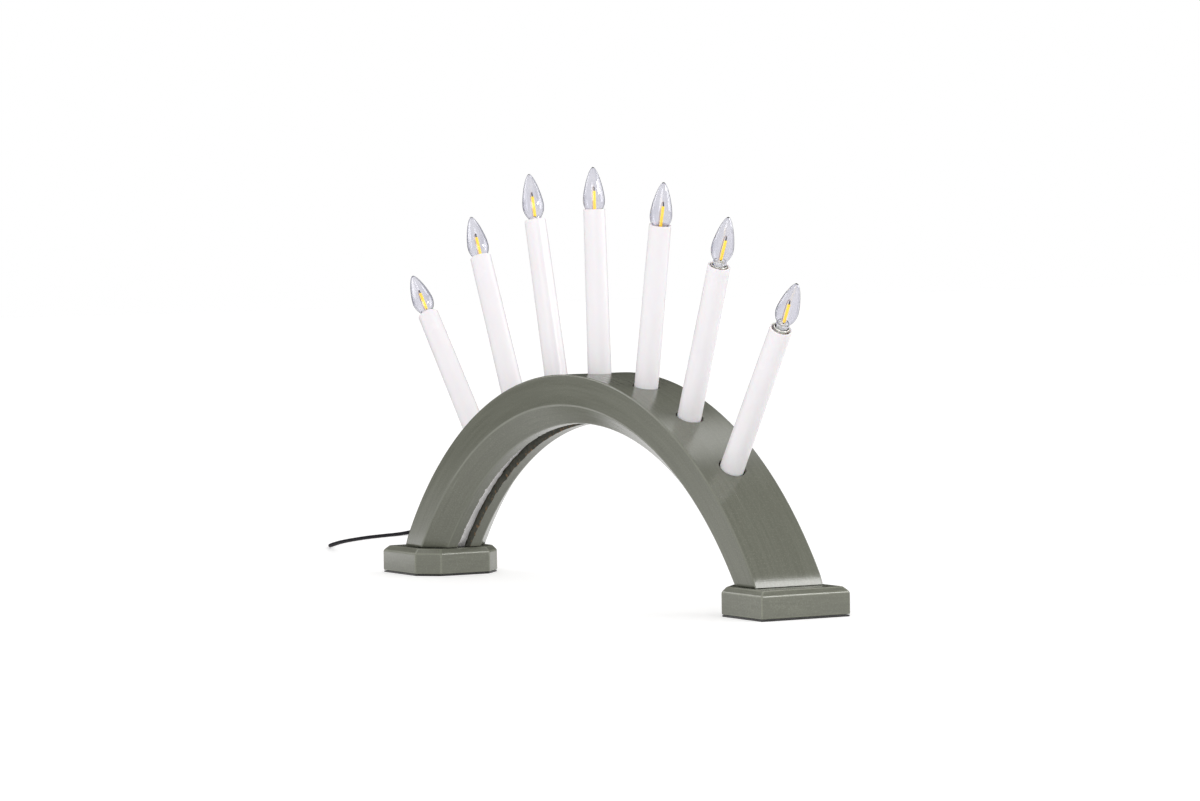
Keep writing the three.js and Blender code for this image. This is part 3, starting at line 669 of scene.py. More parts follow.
def paint(name, colour, flow, corners=()):
    """Satin paint with fine brush marks, which run where the flow vector is stretched, and painted highlights
    along the corners given.
    """
    finish = Finish(name, IOR=1.45)
    base = linear(colour)
    streaks = finish.noise(1, 5, 0.6, flow(finish))
    mottle = finish.noise(22, 4, 0.55)
    grain = finish.noise(1100, 3, 0.6)
    brushed = finish.toned(streaks, EVEN, shade(base, 0.90), shade(base, 1.10))
    sanded = finish.mixed(finish.ranged(grain, 0.5, 0.68, 0, 0.7), brushed, shade(base, 1.38))
    clouded = finish.mixed(finish.ranged(mottle, *EVEN, 0, 0.5), sanded, shade(base, 0.92))
    # Painted highlight: the corners are painted lighter, unevenly along the mottle
    if corners:
        highlight_breakup = finish.ranged(mottle, 0.35, 0.6, 0.3, 1)
        corner_highlight = finish.math("MULTIPLY", painted_corner_highlight(finish, corners), highlight_breakup)
        clouded = finish.mixed(corner_highlight, clouded, shade(base, 1.32))
    finish.colour(clouded)
    finish.roughness(finish.ranged(streaks, 0.25, 0.75, 0.17, 0.28))
    finish.bump(finish.math("MULTIPLY_ADD", grain, 0.35, streaks), 0.06 * MM, 0.5)
    return finish.material


def round_arch(finish):
    """The angle round the arch, the distance from its centre and the distance from front to back."""
    x, y, z = finish.add("SeparateXYZ", Vector=finish.object).outputs
    rise = finish.math("SUBTRACT", z, ARCH_CENTRE.z)
    return finish.math("ARCTAN2", x, rise), finish.distance(x, rise), y


def along_the_arch(finish):
    """Coordinates that run along the arch, with brush marks a millimetre wide."""
    angle, radius, y = round_arch(finish)
    scaled = [finish.math("MULTIPLY", *pair) for pair in zip((angle, y, radius), ARCH_BRUSH)]
    return finish.chain("CombineXYZ", *scaled)


def along_the_foot(finish):
    """Coordinates with brush marks that run along the front of a foot."""
    return finish.stretched(FOOT_BRUSH)


def painted_corner_highlight(finish, corners):
    """A painted highlight: one on the arch's corners, given as [distance from the middle plane, radius], and
    otherwise none.
    """
    _, radius, y = round_arch(finish)
    side = finish.math("ABSOLUTE", y)
    total = 0
    for corner_side, corner_radius in corners:
        across = finish.math("SUBTRACT", side, corner_side)
        along = finish.math("SUBTRACT", radius, corner_radius)
        share = finish.ranged(finish.distance(across, along), *CORNER_HIGHLIGHT_WIDTH, 1, 0)
        total = finish.math("MAXIMUM", total, share)
    return total


def groove_finish_with_painted_shade(wood_colour, paint_colour):
    """Sawn groove walls: the paint darkened as painted shade, darker still in patches, with flecks of torn
    raw wood.
    """
    finish = Finish("groove_wood_and_painted_shade", Roughness=0.9)
    # Painted shade: the walls in the groove take the paint darkened
    painted_groove_shade = shade(linear(paint_colour), 0.55)
    chips = finish.noise(420, 6, 0.7)
    flecks = finish.noise(480, 5, 0.65)
    at_mouth = finish.ranged(round_arch(finish)[1], INNER_RADIUS, INNER_RADIUS + FLECK_REACH, 0.16, 0)
    torn = finish.math("MULTIPLY", at_mouth, finish.noise(75, 3))
    stained = finish.toned(finish.math("ADD", flecks, torn), (0.60, 0.70), painted_groove_shade, linear(wood_colour))
    finish.colour(finish.mixed(finish.ranged(chips, 0.4, 0.7, 0, 0.7), stained, shade(painted_groove_shade, 0.5)))
    finish.bump(chips, 0.5 * MM, 0.9)
    return finish.material


def black_felt():
    """Short black felt."""
    finish = Finish("felt_black", Sheen_Weight=0.4, Sheen_Roughness=0.5)
    fibres = finish.noise(2400, 6, 0.7)
    finish.colour(finish.mixed(fibres, [0.004, 0.004, 0.004, 1], [0.022, 0.020, 0.020, 1]))
    finish.roughness(finish.ranged(fibres, 0.2, 0.8, 0.9, 1.0))
    finish.bump(fibres, 0.25 * MM)
    return finish.material


def clear_glass(colour):
    """Clear blown glass whose wall takes a little light away, with a painted dark edge where it is seen edge
    on.
    """
    finish = Finish("glass_clear", Transmission_Weight=1, IOR=1.58, Roughness=0)
    clear = finish.toned(finish.noise(160, 2), EVEN, [0.96, 0.96, 0.97, 1], [1, 1, 1, 1])
    # Painted shade: the glass darkens where it is seen edge on, as a painted dark outline
    edge = finish.add("LayerWeight", Blend=0.5).outputs["Facing"]
    finish.colour(finish.toned(edge, (0.60, 0.80), clear, [0.16, 0.17, 0.21, 1]))
    wall = finish.add("VolumeAbsorption", Color=linear(colour), Density=1000)
    finish.join(wall.outputs[0], finish.output.inputs["Volume"])
    return finish.material


def milky_glass():
    """Pale pinched glass in the neck of a bulb, clouded and a little greenish in places."""
    finish = Finish("glass_milky", Roughness=0.2)
    blobs = finish.noise(520, 2)
    finish.colour(finish.toned(blobs, (0.42, 0.66), [0.90, 0.90, 0.88, 1], [0.62, 0.64, 0.56, 1]))
    finish.bump(blobs, 0.8 * MM)
    return finish.material


def grained(name, colour, tones, grain, relief, depth, strength=1, spread=EVEN, gloss=None, stretch=None,
            scratch=None, **sockets):
    """One colour in two tones that follow a noise, as a range of roughness does, with a relief of another.

    The grain and the relief are each given as scale, detail and roughness. The stretch draws out the
    grain and the scratch the relief.
    """
    finish = Finish(name, **sockets)
    base = linear(colour)
    pattern = finish.noise(*grain, vector=stretch and finish.stretched(stretch))
    finish.colour(finish.toned(pattern, spread, shade(base, tones[0]), shade(base, tones[1])))
    if gloss:
        finish.roughness(finish.ranged(pattern, *EVEN, *gloss))
    finish.bump(finish.noise(*relief, vector=scratch and finish.stretched(scratch)), depth, strength)
    return finish.material


def white_strip(colour):
    """Matt white strip, slightly uneven."""
    return grained("strip_white", colour, (0.95, 1), (90, 4), (700, 4), 0.05 * MM, gloss=(0.45, 0.65))


def woven_strap(colour):
    """Woven strap with short hooks."""
    weave = (1400, 5, 0.7)
    return grained("strap_woven", colour, (0.6, 1.5), weave, weave, 0.2 * MM, spread=(0.35, 0.65),
                   Roughness=0.85, Sheen_Weight=0.2)


def candle_plastic(colour):
    """Smooth white plastic with the faint bloom of wax."""
    return grained("candle_white", colour, (0.965, 1), (55, 4), (900, 3), 0.005 * MM, 0.3, gloss=(0.20, 0.28),
                   stretch=(1, 1, 0.35), IOR=1.46, Specular_IOR_Level=0.3, Subsurface_Weight=0.12,
                   Subsurface_Scale=0.002)


def plated(name, colour, *gloss):
    """Plated metal with fine scratches and dull patches."""
    return grained(name, colour, (0.78, 1), (260, 5, 0.6), (900, 3), 0.01 * MM, 0.6, spread=(0.35, 0.7),
                   gloss=gloss, scratch=(1, 1, 9), Metallic=1)


def light_strip(colour):
    """Grainy amber coating that glows a little."""
    grains = (1800, 3)
    return grained("phosphor_amber", colour, (0.8, 1.1), grains, grains, 0.05 * MM, 0.6, Roughness=0.55,
                   Emission_Color=linear(colour), Emission_Strength=0.6)


def sheath(name, colour, skin, *gloss):
    """Dark moulded plastic with a fine uneven skin."""
    return grained(name, colour, (0.8, 1.15), (45, 3), (skin, 4), 0.02 * MM, 0.5, gloss=gloss,
                   IOR=1.5, Specular_IOR_Level=0.05)


# Studio

def white_world(ambient):
    """White where it is seen or mirrored, and a plain soft light otherwise."""
    world = bpy.data.worlds.new("studio")
    bpy.context.scene.world = world
    world.use_nodes = True
    nodes = Nodes(world.node_tree)
    nodes.tree.nodes.clear()
    soft = nodes.chain("Background", AMBIENT_TINT, ambient)
    seen = nodes.chain("Background", (1, 1, 1, 1), 1)
    light = nodes.chain("MixShader", nodes.seen_rays(), soft, seen)
    nodes.join(light, nodes.add("OutputWorld").inputs[0])


def floor_finish():
    """Pale floor that shows white and keeps a soft shadow."""
    finish = Finish("floor_white", Base_Color=FLOOR_GREY, Roughness=0.9)
    plain = finish.shader.outputs[0]
    glow = finish.add("Emission", Strength=FLOOR_GLOW).outputs[0]
    bright = finish.chain("AddShader", plain, glow)
    shown = finish.chain("MixShader", finish.seen_rays(), plain, bright)
    finish.join(shown, finish.output.inputs[0])
    return finish.material


def facing(place, target, axis):
    """The turn that points an axis from a place to a target."""
    return (Vector(target) - Vector(place)).to_track_quat(axis, "Y")


def softbox(name, place, target, size, power):
    """An area lamp, so wide and high, that faces a target."""
    bpy.ops.object.light_add(type="AREA", location=place)
    lamp = bpy.context.active_object
    lamp.name = name
    lamp.data.shape = "RECTANGLE"
    lamp.data.size, lamp.data.size_y = size
    lamp.data.energy = power
    lamp.rotation_euler = facing(place, target, "-Z").to_euler()


def sheet(name, size, cuts, finish):
    """A flat sheet of the studio, so wide and long."""
    piece = begin(bpy.ops.mesh.primitive_plane_add, size=1)
    bpy.ops.mesh.subdivide(number_cuts=cuts)
    bpy.ops.transform.resize(value=(*size, 1), center_override=(0, 0, 0))
    bpy.ops.object.mode_set(mode="OBJECT")
    piece.name = name
    coat(piece, finish)
    return piece


def card(name, cloth, place, target, size):
    """A studio card, so wide and high, that only reflections see."""
    piece = sheet(name, size, 3, cloth)
    turn = facing(place, target, "Z").to_matrix().to_4x4()
    piece.data.transform(Matrix.Translation(place) @ turn)
    for rays in ("camera", "diffuse", "transmission", "volume_scatter", "shadow"):
        setattr(piece, f"visible_{rays}", False)


def card_cloth(name, level, glow):
    """Matt cloth of a studio card, black, or white and lit."""
    finish = Finish(
        name, Roughness=1, Specular_IOR_Level=0, Emission_Color=(1, 1, 1, 1), Emission_Strength=glow)
    grey = [level, level, level, 1]
    finish.colour(finish.mixed(finish.noise(300), shade(grey, 0.7), grey))
    return finish.material


class CANDLEARCH_OT_stage(Operator):
    """Sets the camera, the floor and the lights"""
    bl_idname = "candle_arch.stage"
    bl_label = "Stage"

    def execute(self, context):
        studio = context.scene.candle_arch.studio
        bpy.ops.object.select_all(action="DESELECT")
        bpy.ops.object.camera_add()
        camera = context.active_object
        upright = Matrix.Rotation(math.pi / 2 - studio.elevation, 4, "X")
        turn = Matrix.Rotation(studio.azimuth, 4, "Z") @ upright @ Matrix.Rotation(studio.roll, 4, "Z")
        camera.matrix_world = Matrix.Translation(studio.place) @ turn
        camera.data.sensor_fit = "HORIZONTAL"
        camera.data.sensor_width = SENSOR_WIDTH
        camera.data.lens = studio.lens
        context.scene.camera = camera
        context.scene.view_settings.view_transform = "Standard"
        white_world(studio.ambient)
        sheet("floor", (FLOOR_SIZE, FLOOR_SIZE), 8, floor_finish())
        cloths = {name: card_cloth(name, *look) for name, look in CLOTHS.items()}
        for name, cloth, *measures in CARDS:
            card(name, cloths[cloth], *measures)
        for lamp in SOFTBOXES:
            softbox(*lamp)
        return {"FINISHED"}


# The lead

def coil_point(turns):
    """The middle of the cord after some turns: in along the table, out a layer higher, and so on."""
    per_layer = COIL_TURNS / COIL_LAYERS
    layer = min(int(turns / per_layer), COIL_LAYERS - 1)
    within = turns - layer * per_layer
    wound = within if layer % 2 == 0 else per_layer - within
    radius = COIL_OUTER_RADIUS - COIL_PITCH * wound
    nearest = round(turns / per_layer)
    past = max(-0.5, min(0.5, (turns - nearest * per_layer) / COIL_CLIMB))
    level = nearest - 0.5 + past if 0 < nearest < COIL_LAYERS else layer
    angle = math.pi - 2 * math.pi * turns
    offset = Vector((radius * math.cos(angle), radius * math.sin(angle), COIL_LIFT + COIL_PITCH * level))
    return COIL_CENTRE + offset


def cord_route():
    """The whole lead, from the strain relief through the coil to the plug."""
    steps = round(COIL_TURNS * COIL_LOOP_STEPS)
    turns = [coil_point(COIL_TURNS * k / steps) for k in range(steps + 1)]
    leaving = turns[-1] - turns[-2]
    leaving.z = 0
    leaving.normalize()
    forward = Vector((math.cos(PLUG_HEADING), math.sin(PLUG_HEADING), 0))
    end = PLUG_ENTRY - forward * SEAT_GAP
    tail = interpolate_bezier(
        turns[-1], turns[-1] + leaving * TAIL_HANDLE,
        end - forward * TAIL_HANDLE, end - forward * 2 * CORD_RADIUS, TAIL_STEPS + 1)
    inside_plug = PLUG_ENTRY + forward * PLUG_SLEEVE_LENGTH
    return [Vector(p) for p in CORD_POINTS] + turns + tail[1:] + [end, inside_plug]


class CANDLEARCH_OT_cord(Operator):
    """Makes the lead as one cord with its coil"""
    bl_idname = "candle_arch.cord"
    bl_label = "Lead"

    def execute(self, context):
        lead = context.scene.candle_arch.lead
        cord = smooth_wire("lead", cord_route(), CORD_RADIUS, 3, 4)
        coat(cord, sheath("lead_sheath", lead.sheath, 700, 0.55, 0.7))
        dress(cord, "lead", STAND, "lead", "cord_lead", "cord_coil")
        return {"FINISHED"}


# The arch

def section_plate(depth, thickness, low):
    """An upright plate across the crown, open for editing, that a sweep round the arch starts from."""
    piece = begin(bpy.ops.mesh.primitive_plane_add, size=1, rotation=(0, math.pi / 2, 0))
    bpy.ops.transform.resize(value=(1, depth, thickness), center_override=(0, 0, 0))
    bpy.ops.transform.translate(value=(0, 0, low + thickness / 2))
    return piece


def arch_section(edge_round):
    """The section of the arch, at its crown."""
    inner_face = CROWN_HEIGHT - ARCH_THICKNESS
    groove_side, groove_top = GROOVE_WIDTH / 2, inner_face + GROOVE_DEPTH

    def left_out(face):
        centre = face.calc_center_median()
        return abs(centre.y) < groove_side and centre.z < groove_top

    piece = section_plate(ARCH_DEPTH, ARCH_THICKNESS, inner_face)
    pick(piece, "VERT", lambda v: v.co.z < inner_face + ARCH_THICKNESS / 2)
    bpy.ops.mesh.bevel(affect="VERTICES", offset=ARCH_CHAMFER, segments=1)
    cut((0, groove_side, 0), (0, 1, 0))
    cut((0, -groove_side, 0), (0, 1, 0))
    cut((0, 0, groove_top), (0, 0, 1))
    pick(piece, "FACE", left_out)
    bpy.ops.mesh.delete(type="FACE")
    bpy.ops.mesh.select_all(action="SELECT")
    bpy.ops.mesh.dissolve_limited(angle_limit=math.radians(1))
    pick(piece, "VERT", lambda v: abs(v.co.y) > groove_side + MM)
    bpy.ops.mesh.bevel(affect="VERTICES", offset=edge_round, segments=4)
    pick(piece, "EDGE", lambda e: all(near(v.co.z, CROWN_HEIGHT) for v in e.verts))
    bpy.ops.mesh.subdivide(number_cuts=ARCH_TOP_CUTS)
    return piece


def half_span(radius, height):
    """How far a radius of the arch is from the middle at a height."""
    return math.sqrt(radius ** 2 - (height - ARCH_CENTRE.z) ** 2)


def sweep_round_arch(piece, steps):
    """Spins an upright section at the crown round the whole arch and cuts it level at the legs."""
    bpy.ops.object.mode_set(mode="OBJECT")
    to_leg = Matrix.Rotation(-ARCH_SPAN, 4, "Y")
    piece.data.transform(Matrix.Translation(ARCH_CENTRE) @ to_leg @ Matrix.Translation(-ARCH_CENTRE))
    bpy.ops.object.mode_set(mode="EDIT")
    bpy.ops.mesh.select_all(action="SELECT")
    bpy.ops.mesh.spin(steps=steps, angle=2 * ARCH_SPAN, center=ARCH_CENTRE, axis=(0, -1, 0))
    cut((0, 0, LEG_BOTTOM), (0, 0, 1), use_fill=True, clear_inner=True)
    settle(piece)


def ease_legs(piece):
    """Sands the ends of the legs: the outer face draws in near the foot, and the end is eased all round."""
    bpy.ops.object.mode_set(mode="EDIT")
    for share in LEG_FLARE_CUTS:
        cut((0, 0, LEG_BOTTOM + share * LEG_FLARE_HEIGHT), (0, 0, 1))
    bpy.ops.object.mode_set(mode="OBJECT")
    leg_middle = half_span(OUTER_RADIUS - ARCH_THICKNESS / 2, LEG_BOTTOM)
    for vertex in piece.data.vertices:
        height = vertex.co.z - LEG_BOTTOM
        if height > LEG_FLARE_HEIGHT:
            continue
        radius = Vector((vertex.co.x, 0, vertex.co.z - ARCH_CENTRE.z)).length
        outer = ramp(radius, OUTER_RADIUS - LEG_FLARE_START, OUTER_RADIUS - LEG_FLARE_WHOLE)
        drawn = outer * LEG_FLARE_DEPTH * (1 - height / LEG_FLARE_HEIGHT) ** 2
        vertex.co.x -= math.copysign(drawn, vertex.co.x)
        if near(height, 0):
            middle = math.copysign(leg_middle, vertex.co.x)
            vertex.co.x = middle + (vertex.co.x - middle) * (1 - 2 * LEG_EASE / ARCH_THICKNESS)
            vertex.co.y *= 1 - 2 * LEG_EASE / ARCH_DEPTH


def candle_hole(number):
    """A cutter for the hole of a candle, with a slightly eased mouth."""
    low, _, radius = reach("candle_tube", number)
    wall = radius + SOCKET_CLEARANCE
    mouth = wall + SOCKET_EASE
    floor = low - SEAT_GAP
    bore_end = GROOVE_DEPTH - ARCH_THICKNESS - SEAT_GAP
    cutter = turned([
        (0, bore_end), (WIRE_BORE_RADIUS, bore_end), (WIRE_BORE_RADIUS, floor), (wall, floor),
        (wall, -SOCKET_EASE), (mouth, SOCKET_EASE / 2), (mouth, SOCKET_OVERRUN), (0, SOCKET_OVERRUN),
    ], SOCKET_SIDES)
    cutter.data.transform(candle_matrix(number))
    return cutter


def screw_hole(screw):
    """A cutter for the clearance hole of a foot screw."""
    low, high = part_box(screw)
    middle = (low + high) / 2
    head = (high.x - low.x) / 2 + SEAT_GAP
    shank = SCREW_SHANK_RADIUS + SEAT_GAP
    cutter = turned([
        (0, -SCREW_OVERRUN), (head, -SCREW_OVERRUN), (head, SEAT_GAP), (shank, SEAT_GAP + head - shank),
        (shank, high.z - low.z), (0, high.z - low.z + SEAT_GAP)], SMALL_HOLE_SIDES)
    cutter.data.transform(Matrix.Translation((middle.x, middle.y, low.z)))
    return cutter


def lead_hole():
    """A cutter for the hole of the lead, from the groove to the outside of the left leg."""
    inside = -half_span(INNER_RADIUS + GROOVE_DEPTH / 2, EXIT_HEIGHT)
    outside = -half_span(OUTER_RADIUS, EXIT_HEIGHT) - RELIEF_DEPTH
    radius = RELIEF_RADIUS + SEAT_GAP
    cutter = turned([(0, outside), (radius, outside), (radius, inside), (0, inside)], SMALL_HOLE_SIDES)
    cutter.data.transform(Matrix.Translation((0, 0, EXIT_HEIGHT)) @ Matrix.Rotation(math.pi / 2, 4, "Y"))
    return cutter


def height_in_groove(place):
    """How far a place is outside the inner face of the arch."""
    return math.hypot(place.x, place.z - ARCH_CENTRE.z) - INNER_RADIUS


def tear_groove(piece):
    """Roughens the mouth of the groove, where the saw tore the wood."""
    for vertex in piece.data.vertices:
        on_side = abs(abs(vertex.co.y) - GROOVE_WIDTH / 2) < GROOVE_EDGE
        if on_side and height_in_groove(vertex.co) < GROOVE_EDGE:
            torn = max(uneven(vertex.co, TEAR_WAVES), 0)
            vertex.co.y += math.copysign(torn * TEAR_DEPTH, vertex.co.y)


def in_groove(place):
    """Whether a place on the arch is on the groove's walls, which take painted shade and raw wood."""
    inside = abs(place.y) < GROOVE_WIDTH / 2 + GROOVE_FINISH_REACH
    deep = GROOVE_EDGE < height_in_groove(place) < GROOVE_DEPTH + MM
    return inside and deep and place.z > LEG_BOTTOM + LEEWAY


class CANDLEARCH_OT_arch(Operator):
    """Makes the painted arch with its groove and candle holes"""
    bl_idname = "candle_arch.arch"
    bl_label = "Arch"

    def execute(self, context):
        wood = context.scene.candle_arch.wood
        piece = arch_section(wood.edge_round)
        sweep_round_arch(piece, wood.arch_steps)
        ease_legs(piece)
        for number in CANDLES:
            carve(piece, candle_hole(number))
        for screw in SCREWS:
            carve(piece, screw_hole(screw))
        carve(piece, lead_hole())
        tear_groove(piece)
        even_shading(piece)
        half = ARCH_DEPTH / 2
        # Corners of the section that take a painted highlight
        corners = [(half, OUTER_RADIUS), (half, INNER_RADIUS + ARCH_CHAMFER),
                   (half - ARCH_CHAMFER, INNER_RADIUS)]
        coat(piece, paint("paint_arch", wood.paint, along_the_arch, corners),
             groove_finish_with_painted_shade(wood.raw_wood, wood.paint))
        second_finish(piece, in_groove)
        dress(piece, "arch_look", STAND, "paint", "arch")
        return {"FINISHED"}


def tilt_cover(piece):
    """Lets the strip's front edge stand out of the groove, unevenly, as if pressed in by hand."""
    for vertex in piece.data.vertices:
        inward = Vector((-vertex.co.x, 0, ARCH_CENTRE.z - vertex.co.z)).normalized()
        lift = COVER_TILT * (0.5 - vertex.co.y / GROOVE_WIDTH) + uneven(vertex.co, COVER_WAVES)
        vertex.co += inward * lift * ramp(vertex.co.z, LEG_BOTTOM, LEG_BOTTOM + COVER_SEAT_HEIGHT)


class CANDLEARCH_OT_cover(Operator):
    """Makes the white strip that closes the wiring groove"""
    bl_idname = "candle_arch.cover"
    bl_label = "Groove cover"

    def execute(self, context):
        wood = context.scene.candle_arch.wood
        low = CROWN_HEIGHT - ARCH_THICKNESS + COVER_RECESS
        piece = section_plate(GROOVE_WIDTH - 2 * SEAT_GAP, COVER_THICKNESS, low)
        bpy.ops.mesh.bevel(affect="VERTICES", offset=COVER_ROUND, segments=3)
        sweep_round_arch(piece, wood.arch_steps // 2)
        tilt_cover(piece)
        coat(piece, white_strip(COVER_WHITE))
        dress(piece, "wiring_cover_look", STAND, "cover", "wiring_cover")
        return {"FINISHED"}


# Feet and pads

def clipped_block(box, side, corner, chamfer, rounding, finishes):
    """A block with clipped inner corners, a chamfered top and edges rounded in the last finish, which on the
    feet is a painted highlight.
    """
    low, high = box
    piece = begin(bpy.ops.mesh.primitive_cube_add, size=1, location=(low + high) / 2, scale=high - low)
    inner = high.x if side == "left" else low.x
    pick(piece, "EDGE", lambda e: all(near(v.co.x, inner) for v in e.verts)
         and near(e.verts[0].co.y, e.verts[1].co.y))
    bpy.ops.mesh.bevel(affect="EDGES", offset=corner, segments=1)
    if chamfer:
        pick(piece, "EDGE", lambda e: all(near(v.co.z, high.z) for v in e.verts))
        bpy.ops.mesh.bevel(affect="EDGES", offset=chamfer, segments=1)
    settle(piece)
    coat(piece, *finishes)
    apply_modifier(piece, "BEVEL", width=rounding, segments=4, limit_method="ANGLE",
                   angle_limit=math.radians(20), material=len(finishes) - 1)
    return piece


class CANDLEARCH_OT_feet(Operator):
    """Makes the painted feet"""
    bl_idname = "candle_arch.feet"
    bl_label = "Feet"

    def execute(self, context):
        wood = context.scene.candle_arch.wood
        # The second paint is a painted highlight on the feet's rounded edges
        finishes = [paint("paint_feet", wood.lit_foot_paint, along_the_foot),
                    paint("paint_foot_edge_highlight", [EDGE_HIGHLIGHT_SHARE * c for c in wood.lit_foot_paint], along_the_foot)]
        for side in SIDES:
            name = f"foot_{side}"
            piece = clipped_block(
                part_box(name), side, wood.foot_corner, wood.foot_chamfer, wood.foot_round, finishes)
            for screw in SCREWS:
                if side in screw:
                    carve(piece, screw_hole(screw))
            smooth()
            even_shading(piece)
            dress(piece, f"{name}_look", STAND, "paint", name)
        return {"FINISHED"}


class CANDLEARCH_OT_pads(Operator):
    """Makes the felt pads under the feet"""
    bl_idname = "candle_arch.pads"
    bl_label = "Pads"

    def execute(self, context):
        wood = context.scene.candle_arch.wood
        finish = black_felt()
        corner = wood.foot_corner - PAD_INSET * (2 - math.sqrt(2))
        for side in SIDES:
            name = f"foot_pad_{side}"
            piece = clipped_block(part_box(name), side, corner, 0, PAD_ROUND, [finish])
            smooth()
            dress(piece, f"{name}_look", STAND, "felt", name)
        return {"FINISHED"}


# Candles

class CANDLEARCH_OT_candles(Operator):
    """Makes the tapered candle tubes with their rounded rims"""
    bl_idname = "candle_arch.candles"
    bl_label = "Candle tubes"

    def execute(self, context):
        candle = context.scene.candle_arch.candle
        low, high, base = reach("candle_tube")
        bore, mouth = base - TUBE_WALL, TUBE_TOP_RADIUS - TUBE_WALL
        lip = TUBE_WALL / 2
        rim = arc((TUBE_TOP_RADIUS - lip, high - lip), lip, 0, 180, TUBE_RIM_STEPS)
        piece = turned([(bore, low), (base, low), (base, 0), *rim, (mouth, high - HOLDER_LENGTH), (bore, 0),
                        (bore, low)], candle.sides)
        even_shading(piece)
        coat(piece, candle_plastic(candle.white))
        on_candles(piece, "candle_tube", "candle", stand_body, at_tube_height)
        return {"FINISHED"}


class CANDLEARCH_OT_holders(Operator):
    """Makes the screw holders in the tubes' mouths"""
    bl_idname = "candle_arch.holders"
    bl_label = "Lamp holders"

    def execute(self, context):
        candle = context.scene.candle_arch.candle
        radius = reach("lamp_holder")[2]
        roll = HOLDER_WALL / 2
        rim = arc((radius - roll, -roll - HOLDER_SINK), roll, 0, 180, RIM_STEPS)
        floor = HOLDER_FLOOR - HOLDER_LENGTH
        piece = turned([(0, -HOLDER_LENGTH), (radius - roll, -HOLDER_LENGTH), (radius, roll - HOLDER_LENGTH),
                        *rim, (radius - HOLDER_WALL, floor), (0, floor)], candle.sides)
        coat(piece, plated("holder_nickel", candle.metal, 0.32, 0.5))
        on_candles(piece, "lamp_holder", "nickel", stand_body, at_holder_rim)
        return {"FINISHED"}


# Bulbs

def rolled_thread(piece, low, high):
    """Presses a rolled screw thread into the side of a cap."""
    for vertex in piece.data.vertices:
        radius = math.hypot(vertex.co.x, vertex.co.y)
        if radius > CAP_RADIUS - LEEWAY and low < vertex.co.z < high:
            turn = math.atan2(vertex.co.y, vertex.co.x) / (2 * math.pi)
            depth = 0.5 - 0.5 * math.cos(2 * math.pi * (vertex.co.z / THREAD_PITCH - turn))
            share = 1 - THREAD_DEPTH * depth / radius
            vertex.co.x *= share
            vertex.co.y *= share


class CANDLEARCH_OT_caps(Operator):
    """Makes the screw caps of the bulbs"""
    bl_idname = "candle_arch.caps"
    bl_label = "Bulb caps"

    def execute(self, context):
        candle = context.scene.candle_arch.candle
        bore = CAP_RADIUS - CAP_WALL
        cone = CAP_BOTTOM + CAP_CONE
        floor = CAP_BOTTOM + CAP_FLOOR
        roll = CAP_WALL / 2
        top = CAP_RISE - CAP_PLAIN_BAND
        side = [(CAP_RADIUS, cone + (top - cone) * k / CAP_STEPS) for k in range(CAP_STEPS + 1)]
        rim = arc((CAP_RADIUS - roll, CAP_RISE - roll), roll, 0, 180, RIM_STEPS)
        piece = turned([(0, CAP_BOTTOM), (CAP_RADIUS - CAP_CONE, CAP_BOTTOM), *side, *rim,
                        (bore, cone + CAP_FLOOR - CAP_WALL), (bore - CAP_CONE, floor), (0, floor)], CAP_SIDES)
        rolled_thread(piece, cone + roll, top - roll)
        coat(piece, plated("cap_nickel", candle.metal, 0.25, 0.4))
        on_candles(piece, "bulb_cap", "nickel", bulb_body, at_holder_rim)
        return {"FINISHED"}


def flame_side(wall, tip_wall):
    """One side of the flame-shaped bulb, from the foot of its neck to its tip, drawn in by a wall."""
    neck, belly = GLASS_NECK_RADIUS - wall, GLASS_BELLY_RADIUS - wall
    middle, tip = GLASS_BELLY_HEIGHT, GLASS_HEIGHT - tip_wall
    lower = [(neck + out * (belly - neck), up * middle) for out, up in SHOULDER_HANDLES]
    upper = [(out * belly, middle + up * (tip - middle)) for out, up in CHEEK_HANDLES]
    shoulder = interpolate_bezier((neck, 0), *lower, (belly, middle), GLASS_STEPS)
    cheek = interpolate_bezier((belly, middle), *upper, (0, tip), 2 * GLASS_STEPS)
    return [(p[0], p[1] + GLASS_LIFT) for p in [(neck, -GLASS_NECK_LENGTH), *shoulder, *cheek[1:]]]


class CANDLEARCH_OT_glasses(Operator):
    """Makes the flame-shaped glasses of the bulbs"""
    bl_idname = "candle_arch.glasses"
    bl_label = "Bulb glasses"

    def execute(self, context):
        candle = context.scene.candle_arch.candle
        inner = flame_side(GLASS_WALL, GLASS_TIP_WALL)
        piece = turned([*reversed(inner), *flame_side(0, 0)], GLASS_SIDES)
        smooth(50)
        coat(piece, clear_glass(candle.glass))
        piece.visible_shadow = False
        on_candles(piece, "bulb_glass", "bulb_glass", bulb_body, at_holder_rim)
        return {"FINISHED"}


def leaning_filament(number):
    """The place of a light strip, which leans a little in its own bulb."""
    across = candle_matrix(number).to_3x3().inverted() @ VIEW_HEADING
    pivot = Matrix.Translation((0, 0, FILAMENT_PIVOT))
    lean = Matrix.Rotation(math.radians(FILAMENT_LEANS[number - 1]), 4, across)
    return at_holder_rim(number) @ pivot @ lean @ pivot.inverted()


